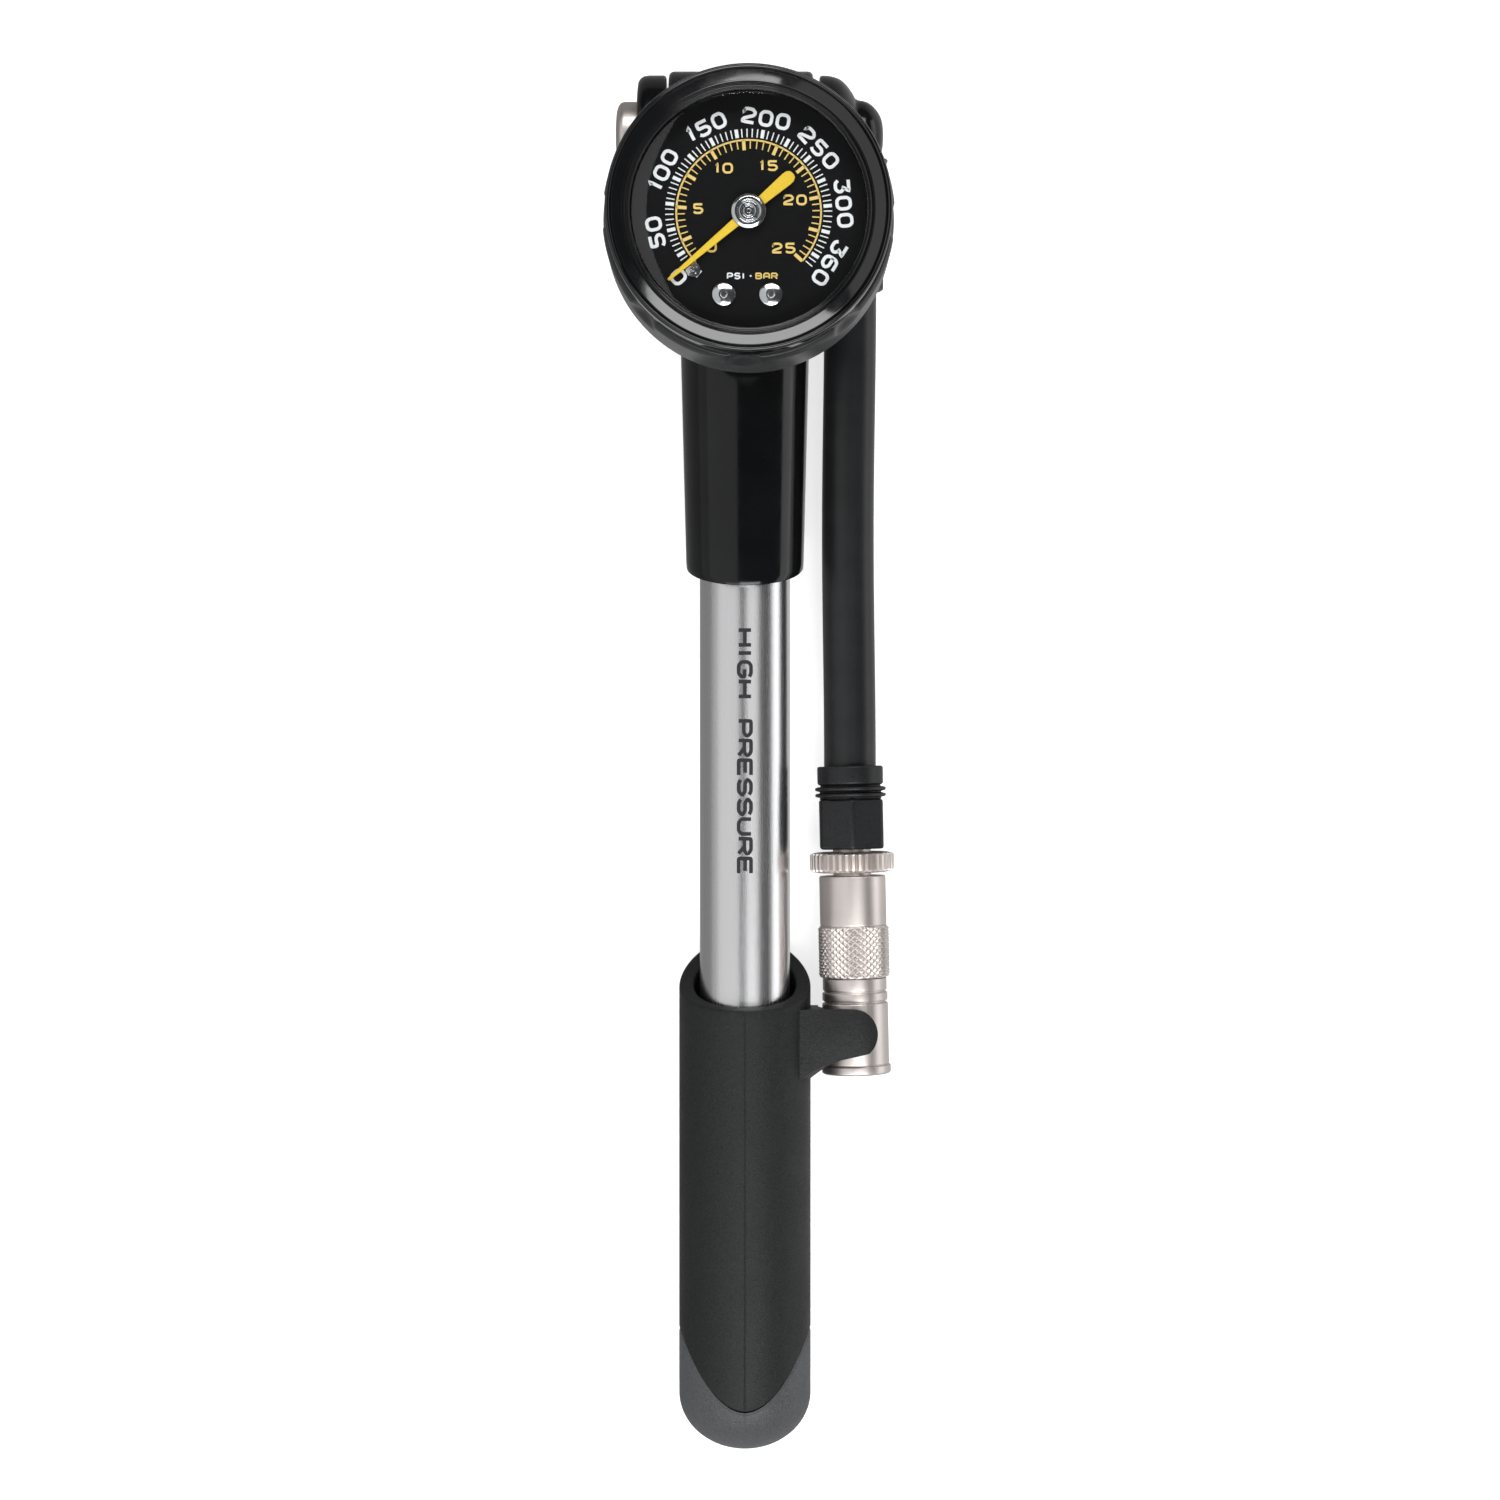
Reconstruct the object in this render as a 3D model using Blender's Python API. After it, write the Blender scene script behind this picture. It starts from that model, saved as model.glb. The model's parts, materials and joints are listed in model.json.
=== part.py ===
"""Mini pump with a dial gauge, a swivelling hose and a screw-on chuck, lying on its back, dial up.

Run with: blender --background --python part.py
World: +Y runs along the pump towards its head, +X to the hose's side, +Z up out of the dial. The origin
is under the middle of the whole pump, on the surface that it lies on.

Sizes are in millimetres. A place is given as (side, along, up): side and up from the barrel's axis, and
along from a point near mid length, positive towards the head. Turned parts are (radius, height) outlines,
spun about the local Z axis of the empty that they hang from.
"""

import math

import bmesh
import bpy
from mathutils import Matrix, Vector

MM = 0.001
GAP = 0.1  # between pieces that touch

# ---- Driving dimensions ----
SIDE_MIDDLE = 1.215  # the middle of the whole pump, seen from the barrel's axis
ALONG_MIDDLE = 3.15
AXIS_UP = 10.35  # the barrel's axis above the surface

BARREL_R, BARREL_BORE_R = 7.1, 5.7
BARREL_TOP, BARREL_FOOT = 76.0, -90.0

HANDLE_R, HANDLE_BORE_R = 10.35, 8.0
HANDLE_MOUTH, MOUTH_SLOPE = -32.0, 0.4  # the mouth's height at the axis, and its fall per mm upwards
HANDLE_FLOOR, HANDLE_DOME, HANDLE_END = -94.5, -96.3, -105.1
CAP_LINE_LOW, CAP_LINE_RISE = -97.5, 11.6  # the end cap's curved joint: lowest point, rise at the side

SLEEVE_FOOT, SLEEVE_TOP, SLEEVE_SLOPE = 33.4, 71.8, 0.295
SLEEVE_FOOT_R, SLEEVE_TOP_R = 9.0, 10.1

CROSS_ALONG, CROSS_R = 101.35, 10.05  # the head's cross cylinder
CROSS_LEFT, CROSS_RIGHT = -11.9, 10.7

GAUGE_SIDE, GAUGE_ALONG = 0.6, 83.9
BOOT_R, BEZEL_R, LENS_SEEN_R = 21.8, 21.15, 17.95
CASE_R, CASE_BORE_R = 20.4, 18.6
CASE_BACK, DIAL_UP, POINTER_UP, LENS_UP = 13.6, 28.5, 29.6, 30.7
POINTER_ANGLE = math.radians(220.4)
NEEDLE_LENGTH, TAIL_LENGTH = 15.6, 8.6

GEAR_MODULE, PINION_TEETH, SECTOR_WHEEL_TEETH, SECTOR_TEETH = 0.2, 12, 90, 13
PINION_R = GEAR_MODULE * PINION_TEETH / 2
SECTOR_R = GEAR_MODULE * SECTOR_WHEEL_TEETH / 2
PIVOT_ANGLE = math.radians(205)
GEAR_UP, GEAR_WIDTH = 23.0, 1.0

HOSE_SIDE, HOSE_R, HOSE_BORE_R = 16.6, 4.1, 2.25
HOSE_TOP, HOSE_FOOT = 87.9, -6.0
HOSE_BOW = 0.35
UPPER_COLLAR_MOUTH, LOWER_COLLAR_MOUTH = 77.2, 2.2  # where the hose leaves its collars

CHUCK_TOP = (16.9, -11.0, -1.9)  # on the chuck's axis, at the lower collar's foot
CHUCK_LEAN = math.radians(1.25)
WHEEL_R, WHEEL_TEETH = 6.65, 44
CHUCK_R, VALVE_BORE_R = 5.25, 3.95

CLIP_CENTRE = (17.35, -1.9)  # side, up
CLIP_INNER_R, CLIP_OUTER_R = 5.75, 7.8
CLIP_TOP, CLIP_FOOT = -35.8, -47.8

WIDE, ROUND, SMALL = 28, 20, 10  # sides of turned pieces, by size


# ---- Helpers ----
def clear_scene():
    for old in list(bpy.data.objects):
        bpy.data.objects.remove(old, do_unlink=True)


def place(side, along, up):
    """A point of the pump as a world vector in metres."""
    return Vector((side - SIDE_MIDDLE, along - ALONG_MIDDLE, up + AXIS_UP)) * MM


def axis_empty(name, point, z_along, x_along=(1, 0, 0)):
    """An empty at a point of the pump, its local Z along one direction and its local X near another."""
    z = Vector(z_along).normalized()
    y = z.cross(Vector(x_along)).normalized()
    turn = Matrix((y.cross(z), y, z)).transposed().to_4x4()
    empty = bpy.data.objects.new(name, None)
    bpy.context.collection.objects.link(empty)
    empty.matrix_world = Matrix.Translation(place(*point)) @ turn
    return empty


def material(name, colour, roughness, metallic=0.0, alpha=1.0):
    made = bpy.data.materials.new(name)
    made.use_nodes = True
    shader = made.node_tree.nodes["Principled BSDF"]
    shader.inputs["Base Color"].default_value = (*colour, 1.0)
    shader.inputs["Roughness"].default_value = roughness
    shader.inputs["Metallic"].default_value = metallic
    shader.inputs["Alpha"].default_value = alpha
    return made


def mesh_object(name, bm, looks, parent):
    """A named object from a bmesh whose points are in millimetres in its parent's space."""
    bmesh.ops.scale(bm, vec=(MM, MM, MM), verts=bm.verts)
    bmesh.ops.recalc_face_normals(bm, faces=bm.faces)
    mesh = bpy.data.meshes.new(name)
    bm.to_mesh(mesh)
    bm.free()
    mesh.shade_smooth()
    mesh.set_sharp_from_angle(angle=math.radians(35))
    made = bpy.data.objects.new(name, mesh)
    bpy.context.collection.objects.link(made)
    made.parent = parent
    if looks:
        mesh.materials.append(looks)
    return made


def turned(name, outline, looks, parent, sides=ROUND, centre=(0, 0)):
    """An outline of (radius, height) points spun about the parent's Z axis, or about a line beside it.

    It closes by itself: through the axis where it ends there, or else back to its first point.
    """
    bm = bmesh.new()
    points = [bm.verts.new((radius, 0, height)) for radius, height in outline]
    ends_on_axis = outline[0][0] == 0 and outline[-1][0] == 0
    following = points[1:] if ends_on_axis else points[1:] + points[:1]
    edges = [bm.edges.new(pair) for pair in zip(points, following)]
    bmesh.ops.spin(
        bm, geom=points + edges, cent=(0, 0, 0), axis=(0, 0, 1), angle=math.tau, steps=sides, use_merge=True
    )
    bmesh.ops.remove_doubles(bm, verts=bm.verts, dist=1e-5)
    bmesh.ops.translate(bm, vec=(*centre, 0), verts=bm.verts)
    return mesh_object(name, bm, looks, parent)


def disc(name, radius, low, high, looks, parent, hole=0.0, sides=ROUND, centre=(0, 0)):
    """A plain round plate, or a ring where it has a hole."""
    if hole:
        outline = [(hole, high), (radius, high), (radius, low), (hole, low)]
    else:
        outline = [(0, high), (radius, high), (radius, low), (0, low)]
    return turned(name, outline, looks, parent, sides, centre)


def ring(name, radius, thickness, height, looks, parent, sides=16):
    """An O-ring: a torus of round section."""
    outline = []
    for step in range(6):
        turn = math.tau * step / 6
        outline.append((radius + thickness / 2 * math.cos(turn), height + thickness / 2 * math.sin(turn)))
    return turned(name, outline, looks, parent, sides)


def slab(name, outline, low, high, looks, parent):
    """A flat outline of (x, y) points given a thickness along the parent's Z axis."""
    bm = bmesh.new()
    face = bm.faces.new([bm.verts.new((x, y, low)) for x, y in outline])
    raised = bmesh.ops.extrude_face_region(bm, geom=[face])
    tops = [item for item in raised["geom"] if isinstance(item, bmesh.types.BMVert)]
    bmesh.ops.translate(bm, vec=(0, 0, high - low), verts=tops)
    return mesh_object(name, bm, looks, parent)


def wire(name, points, thickness, looks, parent):
    """A round wire through a list of points, with closed ends."""
    curve = bpy.data.curves.new(name, "CURVE")
    curve.dimensions = "3D"
    curve.bevel_depth = thickness / 2 * MM
    curve.bevel_resolution = 1
    curve.use_fill_caps = True
    line = curve.splines.new("POLY")
    line.points.add(len(points) - 1)
    for point, spot in zip(line.points, points):
        point.co = (*(Vector(spot) * MM), 1)
    curve.materials.append(looks)
    made = bpy.data.objects.new(name, curve)
    bpy.context.collection.objects.link(made)
    made.parent = parent
    return made


def coil_points(radius, low, high, turns, per_turn=8):
    """Points along a coil spring about the Z axis."""
    steps = turns * per_turn
    points = []
    for step in range(steps + 1):
        turn = math.tau * step / per_turn
        points.append((radius * math.cos(turn), radius * math.sin(turn), low + (high - low) * step / steps))
    return points


def arc(centre, radius, start, stop, steps):
    """Points of a circle from one angle in degrees to another."""
    points = []
    for step in range(steps + 1):
        turn = math.radians(start + (stop - start) * step / steps)
        points.append((centre[0] + radius * math.cos(turn), centre[1] + radius * math.sin(turn)))
    return points


def boolean(target, other, operation):
    """Live Boolean; the other object becomes a hidden guide."""
    modifier = target.modifiers.new(operation.lower() + " " + other.name, "BOOLEAN")
    modifier.operation = operation
    modifier.solver = "EXACT"
    modifier.object = other
    other.hide_render = True
    other.display_type = "WIRE"
    return target


def cut(target, cutter):
    return boolean(target, cutter, "DIFFERENCE")


def fuse(target, other):
    return boolean(target, other, "UNION")


def gear_outline(teeth, wheel_teeth, middle_angle):
    """A run of teeth on a wheel's rim, anticlockwise, centred on an angle."""
    pitch = math.tau / wheel_teeth
    radius = GEAR_MODULE * wheel_teeth / 2
    points = []
    for tooth in range(teeth):
        centre = middle_angle + (tooth - (teeth - 1) / 2) * pitch
        for reach, share in ((-1.2, -0.29), (0.85, -0.12), (0.85, 0.12), (-1.2, 0.29)):
            turn = centre + share * pitch
            rim = radius + reach * GEAR_MODULE
            points.append((rim * math.cos(turn), rim * math.sin(turn)))
    return points


# ---- Materials ----
def make_materials():
    return {
        "matte_black": material("matte black plastic", (0.022, 0.023, 0.025), 0.62),
        "gloss_black": material("glossy black", (0.012, 0.013, 0.014), 0.22),
        "grey": material("grey plastic", (0.085, 0.088, 0.095), 0.6),
        "rubber": material("black rubber", (0.02, 0.02, 0.021), 0.75),
        "aluminium": material("satin aluminium", (0.62, 0.62, 0.63), 0.32, 1.0),
        "steel": material("bright steel", (0.72, 0.72, 0.73), 0.22, 1.0),
        "nickel": material("satin nickel", (0.66, 0.61, 0.58), 0.36, 1.0),
        "brass": material("brass", (0.72, 0.52, 0.24), 0.35, 1.0),
        "dial": material("dial black", (0.008, 0.008, 0.009), 0.5),
        "yellow": material("pointer yellow", (0.9, 0.6, 0.06), 0.5),
        "clear": material("clear lens", (0.9, 0.93, 0.95), 0.05, 0.0, 0.3),
    }


# ---- Head, sleeve and barrel ----
def make_head(looks, pump, cross, gauge):
    head = turned(
        "head_body",
        [(0, CROSS_RIGHT), (9.3, CROSS_RIGHT), (CROSS_R, CROSS_RIGHT - 0.8),
         (CROSS_R, CROSS_LEFT + 0.8), (9.3, CROSS_LEFT), (0, CROSS_LEFT)],
        looks["gloss_black"], cross, 28,
    )
    neck = turned(
        "neck_guide",
        [(0, 100.0), (9.9, 100.0), (9.9, SLEEVE_TOP + GAP), (8.5, SLEEVE_TOP + GAP), (8.5, 64.0),
         (0, 64.0)],
        None, pump,
    )
    boss = disc("boss_guide", 8.4, 0.0, 12.2, None, gauge)
    foot_outline = [(-8.5, 95.6), (8.5, 95.6), (8.5, 107.1), (-8.5, 107.1)]
    foot = slab("foot_guide", foot_outline, 6.0, AXIS_UP, None, None)
    foot.matrix_world = Matrix.Translation(place(0, 0, 0)) @ Matrix.Diagonal((1, 1, -1, 1))
    socket = turned(
        "socket_guide",
        [(0, CROSS_ALONG), (1.9, CROSS_ALONG), (1.9, 88.2), (3.2, 88.2), (3.2, 78.2), (7.2, 78.2),
         (7.2, 75.6), (8.3, 75.6), (8.3, 74.2), (7.2, 74.2), (7.2, 60.0), (0, 60.0)],
        None, pump,
    )
    across = turned(
        "cross_bore_guide",
        [(0, 12.0), (4.5, 12.0), (4.5, 4.0), (3.0, 4.0), (3.0, -4.6), (4.5, -4.6), (4.5, -13.0),
         (0, -13.0)],
        None, cross,
    )
    port = disc("gauge_port_guide", 4.95, 3.4, 13.0, None, gauge)
    for shape in (neck, boss, foot):
        fuse(head, shape)
    for shape in (socket, across, port):
        cut(head, shape)


def make_sleeve(looks, pump):
    sleeve = turned(
        "sleeve",
        [(BARREL_R + 0.15, 63.8), (8.65, 63.8), (8.65, SLEEVE_TOP), (SLEEVE_TOP_R - 0.3, SLEEVE_TOP),
         (SLEEVE_TOP_R, 71.0), (SLEEVE_TOP_R, 67.0), (SLEEVE_FOOT_R, 24.0), (BARREL_R + 0.15, 24.0)],
        looks["gloss_black"], pump,
    )
    cut(sleeve, slanted_block("sleeve_guide", SLEEVE_FOOT, SLEEVE_SLOPE, -1))


def slanted_block(name, along, slope, side):
    """A block whose face crosses the barrel's axis, sloping as it rises; it fills the given side."""
    bm = bmesh.new()
    bmesh.ops.create_cube(bm, size=60)
    bmesh.ops.translate(bm, vec=(0, 30 * side, 0), verts=bm.verts)
    block = mesh_object(name, bm, None, None)
    block.matrix_world = Matrix.Translation(place(0, along, 0)) @ Matrix.Rotation(math.atan(slope), 4, "X")
    return block


def make_barrel(looks, pump):
    turned(
        "barrel",
        [(BARREL_BORE_R, BARREL_TOP), (6.8, BARREL_TOP), (BARREL_R, BARREL_TOP - 0.4),
         (BARREL_R, BARREL_FOOT), (BARREL_BORE_R, BARREL_FOOT)],
        looks["aluminium"], pump,
    )
    ring("barrel_seal", 7.72, 0.85, 74.9, looks["rubber"], pump)
    turned(
        "barrel_end_cap",
        [(3.2, -82.0), (5.55, -82.0), (5.55, BARREL_FOOT - GAP), (7.1, BARREL_FOOT - GAP), (7.1, -94.0),
         (4.6, -94.0), (4.6, -92.2), (3.2, -92.2)],
        looks["matte_black"], pump,
    )
    disc("rod_wiper", 4.5, -93.9, -92.3, looks["rubber"], pump, hole=3.1)


def make_check_valve(looks, pump):
    disc("check_valve_seat", 7.0, BARREL_TOP + GAP, 78.1, looks["brass"], pump, hole=1.4)
    turned(
        "check_valve_poppet",
        [(0, 84.0), (0.9, 84.0), (0.9, 79.5), (2.7, 79.5), (2.7, 78.25), (0, 78.25)],
        looks["rubber"], pump, SMALL,
    )
    wire("check_valve_spring", coil_points(1.75, 79.85, 87.85, 4), 0.5, looks["steel"], pump)


# ---- Gauge ----
def make_gauge_shell(looks, gauge):
    turned(
        "gauge_case",
        [(5.0, CASE_BACK), (5.0, 14.8), (CASE_BORE_R, 14.8), (CASE_BORE_R, DIAL_UP - GAP),
         (19.4, DIAL_UP - GAP), (19.4, 30.6), (CASE_R, 30.6), (CASE_R, CASE_BACK)],
        looks["matte_black"], gauge, WIDE,
    )
    boot = turned(
        "gauge_boot",
        [(8.9, 12.5), (8.9, 13.4), (20.55, 13.4), (20.55, 27.4), (21.2, 27.4), (BOOT_R, 26.2),
         (BOOT_R, 15.2), (20.9, 13.2), (18.6, 12.5)],
        looks["rubber"], gauge, WIDE,
    )
    for notch in range(8):
        turn = math.radians(45 * notch - 2)
        spot = (23.8 * math.cos(turn), 23.8 * math.sin(turn))
        cut(boot, disc(f"notch_{notch}_guide", 3.0, 24.6, 29.0, None, gauge, sides=SMALL, centre=spot))
    turned(
        "gauge_bezel",
        [(LENS_SEEN_R, 32.2), (20.55, 32.2), (20.55, 27.7), (BEZEL_R, 27.7), (BEZEL_R, 32.2), (20.9, 33.1),
         (20.3, 33.5), (19.9, 33.35), (LENS_SEEN_R, 32.4)],
        looks["gloss_black"], gauge, WIDE,
    )
    disc("gauge_lens", 20.35, LENS_UP, 32.1, looks["clear"], gauge, sides=WIDE)


def make_gauge_works(looks, gauge, sector_axis):
    stem = turned(
        "gauge_stem",
        [(1.0, 4.7), (1.0, 19.8), (3.0, 19.8), (3.0, 14.9), (4.8, 14.9), (4.8, 13.45), (7.0, 13.45),
         (7.0, 12.3), (4.8, 12.3), (4.8, 4.7)],
        looks["brass"], gauge,
    )
    block_outline = [(-5.2, -17.4), (4.9, -17.4), (4.9, -1.6), (-5.2, -1.6)]
    block = slab("block_guide", block_outline, 14.9, 19.8, None, gauge)
    fuse(stem, block)
    for number, side in enumerate((-3.7, 3.3)):
        post = turned(
            f"post_{number}_guide",
            [(0, 18.0), (1.3, 18.0), (1.3, 28.4), (0.6, 28.4), (0.6, 25.0), (0, 25.0)],
            None, gauge, SMALL, (side, -12.2),
        )
        fuse(stem, post)
    tube_arc = [(x, y, 19.6) for x, y in arc((0, 0), 16.0, 289.5, 289.5 + 240, 24)]
    wire("bourdon_tube", tube_arc, 2.0, looks["brass"], gauge)
    tip = tube_arc[-1]
    pivot = polar(PINION_R + SECTOR_R, PIVOT_ANGLE)
    hitch = polar(PINION_R + SECTOR_R + 3.4, PIVOT_ANGLE)
    slab("gauge_link", strap((tip[0] * 0.93, tip[1] * 0.93), hitch, 0.6), 24.3, 24.8, looks["brass"], gauge)
    for name, low, high in (("movement_lower_plate", 20.9, 21.7), ("movement_upper_plate", 26.2, 27.0)):
        plate = slab(name, strap(polar(-2.6, PIVOT_ANGLE), polar(12.2, PIVOT_ANGLE), 4.2), low, high,
                     looks["brass"], gauge)
        cut(plate, disc(name + "_eye_guide", 0.62, low - 1, high + 1, None, gauge, sides=SMALL))
        cut(plate, disc(name + "_pivot_guide", 0.75, low - 1, high + 1, None, gauge, 0, SMALL, pivot))
        if name == "movement_lower_plate":
            for number, spot in enumerate(pillar_spots()):
                fuse(plate, disc(f"pillar_{number}_guide", 0.7, 21.2, 26.1, None, gauge, 0, SMALL, spot))
    make_sector(looks, sector_axis)


def polar(radius, angle):
    return (radius * math.cos(angle), radius * math.sin(angle))


def strap(start, stop, half_width):
    """A flat strap with round ends between two points, anticlockwise."""
    heading = math.degrees(math.atan2(stop[1] - start[1], stop[0] - start[0]))
    far_end = arc(stop, half_width, heading - 90, heading + 90, 8)
    return far_end + arc(start, half_width, heading + 90, heading + 270, 8)


def pillar_spots():
    """Where the two pillars of the movement stand, clear of the sector's swing."""
    beside = (-math.sin(PIVOT_ANGLE), math.cos(PIVOT_ANGLE))
    pivot = polar(PINION_R + SECTOR_R, PIVOT_ANGLE)
    return [polar(-3.4, PIVOT_ANGLE), (pivot[0] + 3.1 * beside[0], pivot[1] + 3.1 * beside[1])]


def make_sector(looks, sector_axis):
    """A toothed sector and its tail, on its own pivot; its local X points at the pinion."""
    pitch = math.tau / SECTOR_WHEEL_TEETH
    middle = -(SECTOR_TEETH - 1) / 2 * pitch + 2 * pitch + pitch / 2
    teeth = gear_outline(SECTOR_TEETH, SECTOR_WHEEL_TEETH, middle)
    tail = [(-4.2, 0.7), (-4.2, -0.7)]
    sector = slab("sector_gear", teeth + [(0.9, 1.6), (-1.0, 1.2)] + tail + [(-1.0, -1.2), (0.9, -1.6)],
                  GEAR_UP, GEAR_UP + GEAR_WIDTH, looks["brass"], sector_axis)
    fuse(sector, disc("sector_arbor_guide", 0.65, 21.0, 26.9, None, sector_axis, sides=SMALL))


def make_dial(looks, gauge):
    dial = disc("gauge_dial", 19.2, DIAL_UP, DIAL_UP + 0.5, looks["dial"], gauge, hole=1.1, sides=WIDE)
    face = DIAL_UP + 0.5
    screws = (("dial_screw_left", -3.7, -12.2), ("dial_screw_right", 3.3, -12.2))
    for name, side, along in screws:
        cut(dial, disc(name + "_guide", 0.75, 27, 30, None, gauge, sides=SMALL, centre=(side, along)))
        turned(
            name,
            [(0, face + 1.0), (0.9, face + 0.9), (1.5, face + 0.5), (1.7, face + 0.05), (0.5, face + 0.05),
             (0.5, 25.4), (0, 25.4)],
            looks["steel"], gauge, SMALL, (side, along),
        )
    cut(dial, disc("stop_screw_guide", 0.6, 27, 30, None, gauge, sides=SMALL, centre=(-8.2, -8.5)))
    turned(
        "stop_screw",
        [(0, face + 0.45), (0.8, face + 0.4), (1.05, face + 0.05), (0.45, face + 0.05), (0.45, 27.6),
         (0, 27.6)],
        looks["steel"], gauge, SMALL, (-8.2, -8.5),
    )


def make_pointer(looks, gauge):
    needle = POINTER_ANGLE
    across = (-math.sin(needle), math.cos(needle))

    def spot(along, sideways):
        return (along * math.cos(needle) + sideways * across[0],
                along * math.sin(needle) + sideways * across[1])

    half = [(NEEDLE_LENGTH, 0.22), (0, 0.7), (-TAIL_LENGTH + 1.0, 0.95), (-TAIL_LENGTH, 0.45)]
    outline = [spot(reach, half_width) for reach, half_width in half]
    outline += [spot(reach, -half_width) for reach, half_width in reversed(half)]
    pointer = slab("gauge_pointer", outline, POINTER_UP, POINTER_UP + 0.35, looks["yellow"], gauge)
    eye = disc("pointer_eye_guide", 2.2, POINTER_UP + 0.02, POINTER_UP + 0.33, None, gauge, sides=SMALL)
    fuse(pointer, eye)
    cut(pointer, disc("pointer_hole_guide", 1.0, POINTER_UP - 1, POINTER_UP + 1, None, gauge, sides=SMALL))
    turned(
        "pointer_hub",
        [(0, 30.5), (1.2, 30.45), (2.3, 30.25), (2.6, 30.0), (0.9, 30.0), (0.9, 29.6), (0, 29.6)],
        looks["steel"], gauge,
    )
    arbor = disc("pinion_arbor", 0.55, 21.0, 29.5, looks["steel"], gauge, sides=SMALL)
    teeth = gear_outline(PINION_TEETH, PINION_TEETH, PIVOT_ANGLE + math.pi / PINION_TEETH)
    pinion = slab("pinion_guide", teeth, GEAR_UP - 0.5, GEAR_UP + GEAR_WIDTH + 0.5, None, gauge)
    fuse(arbor, pinion)


# ---- Bleeder at the head's left end ----
def make_bleeder(looks, cross):
    turned(
        "bleeder_cap",
        [(1.8, -5.0), (4.4, -5.0), (4.4, -12.3), (9.2, -12.3), (9.45, -12.6), (9.45, -15.2), (8.98, -16.33),
         (7.85, -16.8), (5.65, -16.8), (5.65, -14.7), (4.2, -14.7), (4.2, -13.2), (1.8, -13.2)],
        looks["gloss_black"], cross,
    )
    turned(
        "bleeder_button",
        [(0, -16.5), (5.4, -16.5), (5.4, -19.2), (5.0, -19.8), (3.6, -20.2), (0, -20.3)],
        looks["nickel"], cross,
    )
    turned(
        "bleeder_valve",
        [(0, -3.2), (2.6, -3.2), (2.6, -4.6), (1.5, -4.6), (1.5, -16.4), (0, -16.4)],
        looks["brass"], cross, SMALL,
    )
    wire("bleeder_spring", coil_points(3.2, -16.1, -13.6, 3), 0.5, looks["steel"], cross)


# ---- Swivelling hose ----
def make_swivel(looks, cross, outlet):
    stem = turned(
        "swivel_stem",
        [(1.6, 4.2), (4.4, 4.2), (4.4, 10.8), (7.0, 10.8), (7.0, 11.5), (4.0, 11.5), (4.0, 13.0),
         (3.4, 13.0), (3.4, 14.1), (4.0, 14.1), (4.0, 17.7), (3.4, 17.7), (3.4, 18.8), (4.0, 18.8),
         (4.0, 19.8), (0, 19.8),
         (0, 18.8), (1.6, 18.8)],
        looks["brass"], cross,
    )
    cut(stem, disc("stem_port_guide", 1.0, CROSS_ALONG - 6, CROSS_ALONG, None, outlet, sides=SMALL))
    for name, spot in (("swivel_seal_inner", 13.55), ("swivel_seal_outer", 18.25)):
        ring(name, 3.75, 0.55, spot, looks["rubber"], cross)
    union_outline = [
        (4.1, 11.7), (9.0, 11.7), (9.4, 12.1), (9.35, 13.6), (8.85, 14.9), (7.95, 16.0), (6.7, 16.9),
        (5.75, 17.6), (5.45, 18.9), (4.75, 20.1), (3.7, 21.05), (2.65, 21.6), (0, 21.8), (0, 20.0),
        (4.1, 20.0),
    ]
    union = turned("hose_union", union_outline, looks["gloss_black"], cross)
    barb = turned(
        "barb_guide",
        [(0, 97.0), (4.8, 97.0), (4.8, 90.6), (2.1, 90.6), (2.1, 79.0), (0, 79.0)],
        None, outlet,
    )
    seat = disc("union_seat_guide", 4.1, 11.0, 20.0, None, cross)
    passage = disc("passage_guide", 1.2, 78.0, CROSS_ALONG, None, outlet, sides=SMALL)
    fuse(union, barb)
    cut(union, seat)
    cut(union, passage)


def hose_offset(along):
    """How far the hose lies beside and above its upper collar's axis."""
    share = (UPPER_COLLAR_MOUTH - along) / (UPPER_COLLAR_MOUTH - LOWER_COLLAR_MOUTH)
    share = min(max(share, 0.0), 1.0)
    drift = share * share * (3 - 2 * share)
    bow = HOSE_BOW * math.sin(math.pi * share) ** 2
    beyond = max(0.0, LOWER_COLLAR_MOUTH - along) * math.tan(CHUCK_LEAN)
    side = (CHUCK_TOP[0] - HOSE_SIDE - 13 * math.tan(CHUCK_LEAN)) * drift - bow + beyond
    return side, CHUCK_TOP[2] * drift


def make_hose(looks, outlet):
    stations = [HOSE_TOP + (HOSE_FOOT - HOSE_TOP) * step / 10 for step in range(11)]
    outline = [(HOSE_R, along) for along in stations]
    outline += [(HOSE_BORE_R, along) for along in reversed(stations)]
    hose = turned("hose", outline, looks["rubber"], outlet, SMALL)
    for point in hose.data.vertices:
        side, up = hose_offset(point.co.z / MM)
        point.co.x += side * MM
        point.co.y -= up * MM


def collar(name, looks, parent, mouth, flange, bore_floor, foot, hole):
    """A crimped hose collar: a flange and ridges at the mouth, and a six-sided body behind them."""
    way = 1 if foot > mouth else -1
    body = turned(
        name,
        [(0, mouth), (5.2, mouth), (5.2, flange), (4.8, flange + 0.4 * way), (5.68, flange + 0.8 * way),
         (5.68, flange + 1.5 * way), (4.8, flange + 1.9 * way), (4.8, foot - 0.3 * way), (4.5, foot),
         (0, foot)],
        looks["matte_black"], parent,
    )
    low, high = sorted((flange + 2.4 * way, foot - 0.3 * way))
    hexagon = slab(name + "_hexagon_guide", arc((0, 0), 5.7, 0, 300, 5), low, high, None, parent)
    bore = turned(
        name + "_bore_guide",
        [(0, mouth - way), (HOSE_R + 0.25, mouth - way), (HOSE_R + 0.25, bore_floor), (hole, bore_floor),
         (hole, foot + way), (0, foot + way)],
        None, parent,
    )
    fuse(body, hexagon)
    cut(body, bore)


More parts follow.
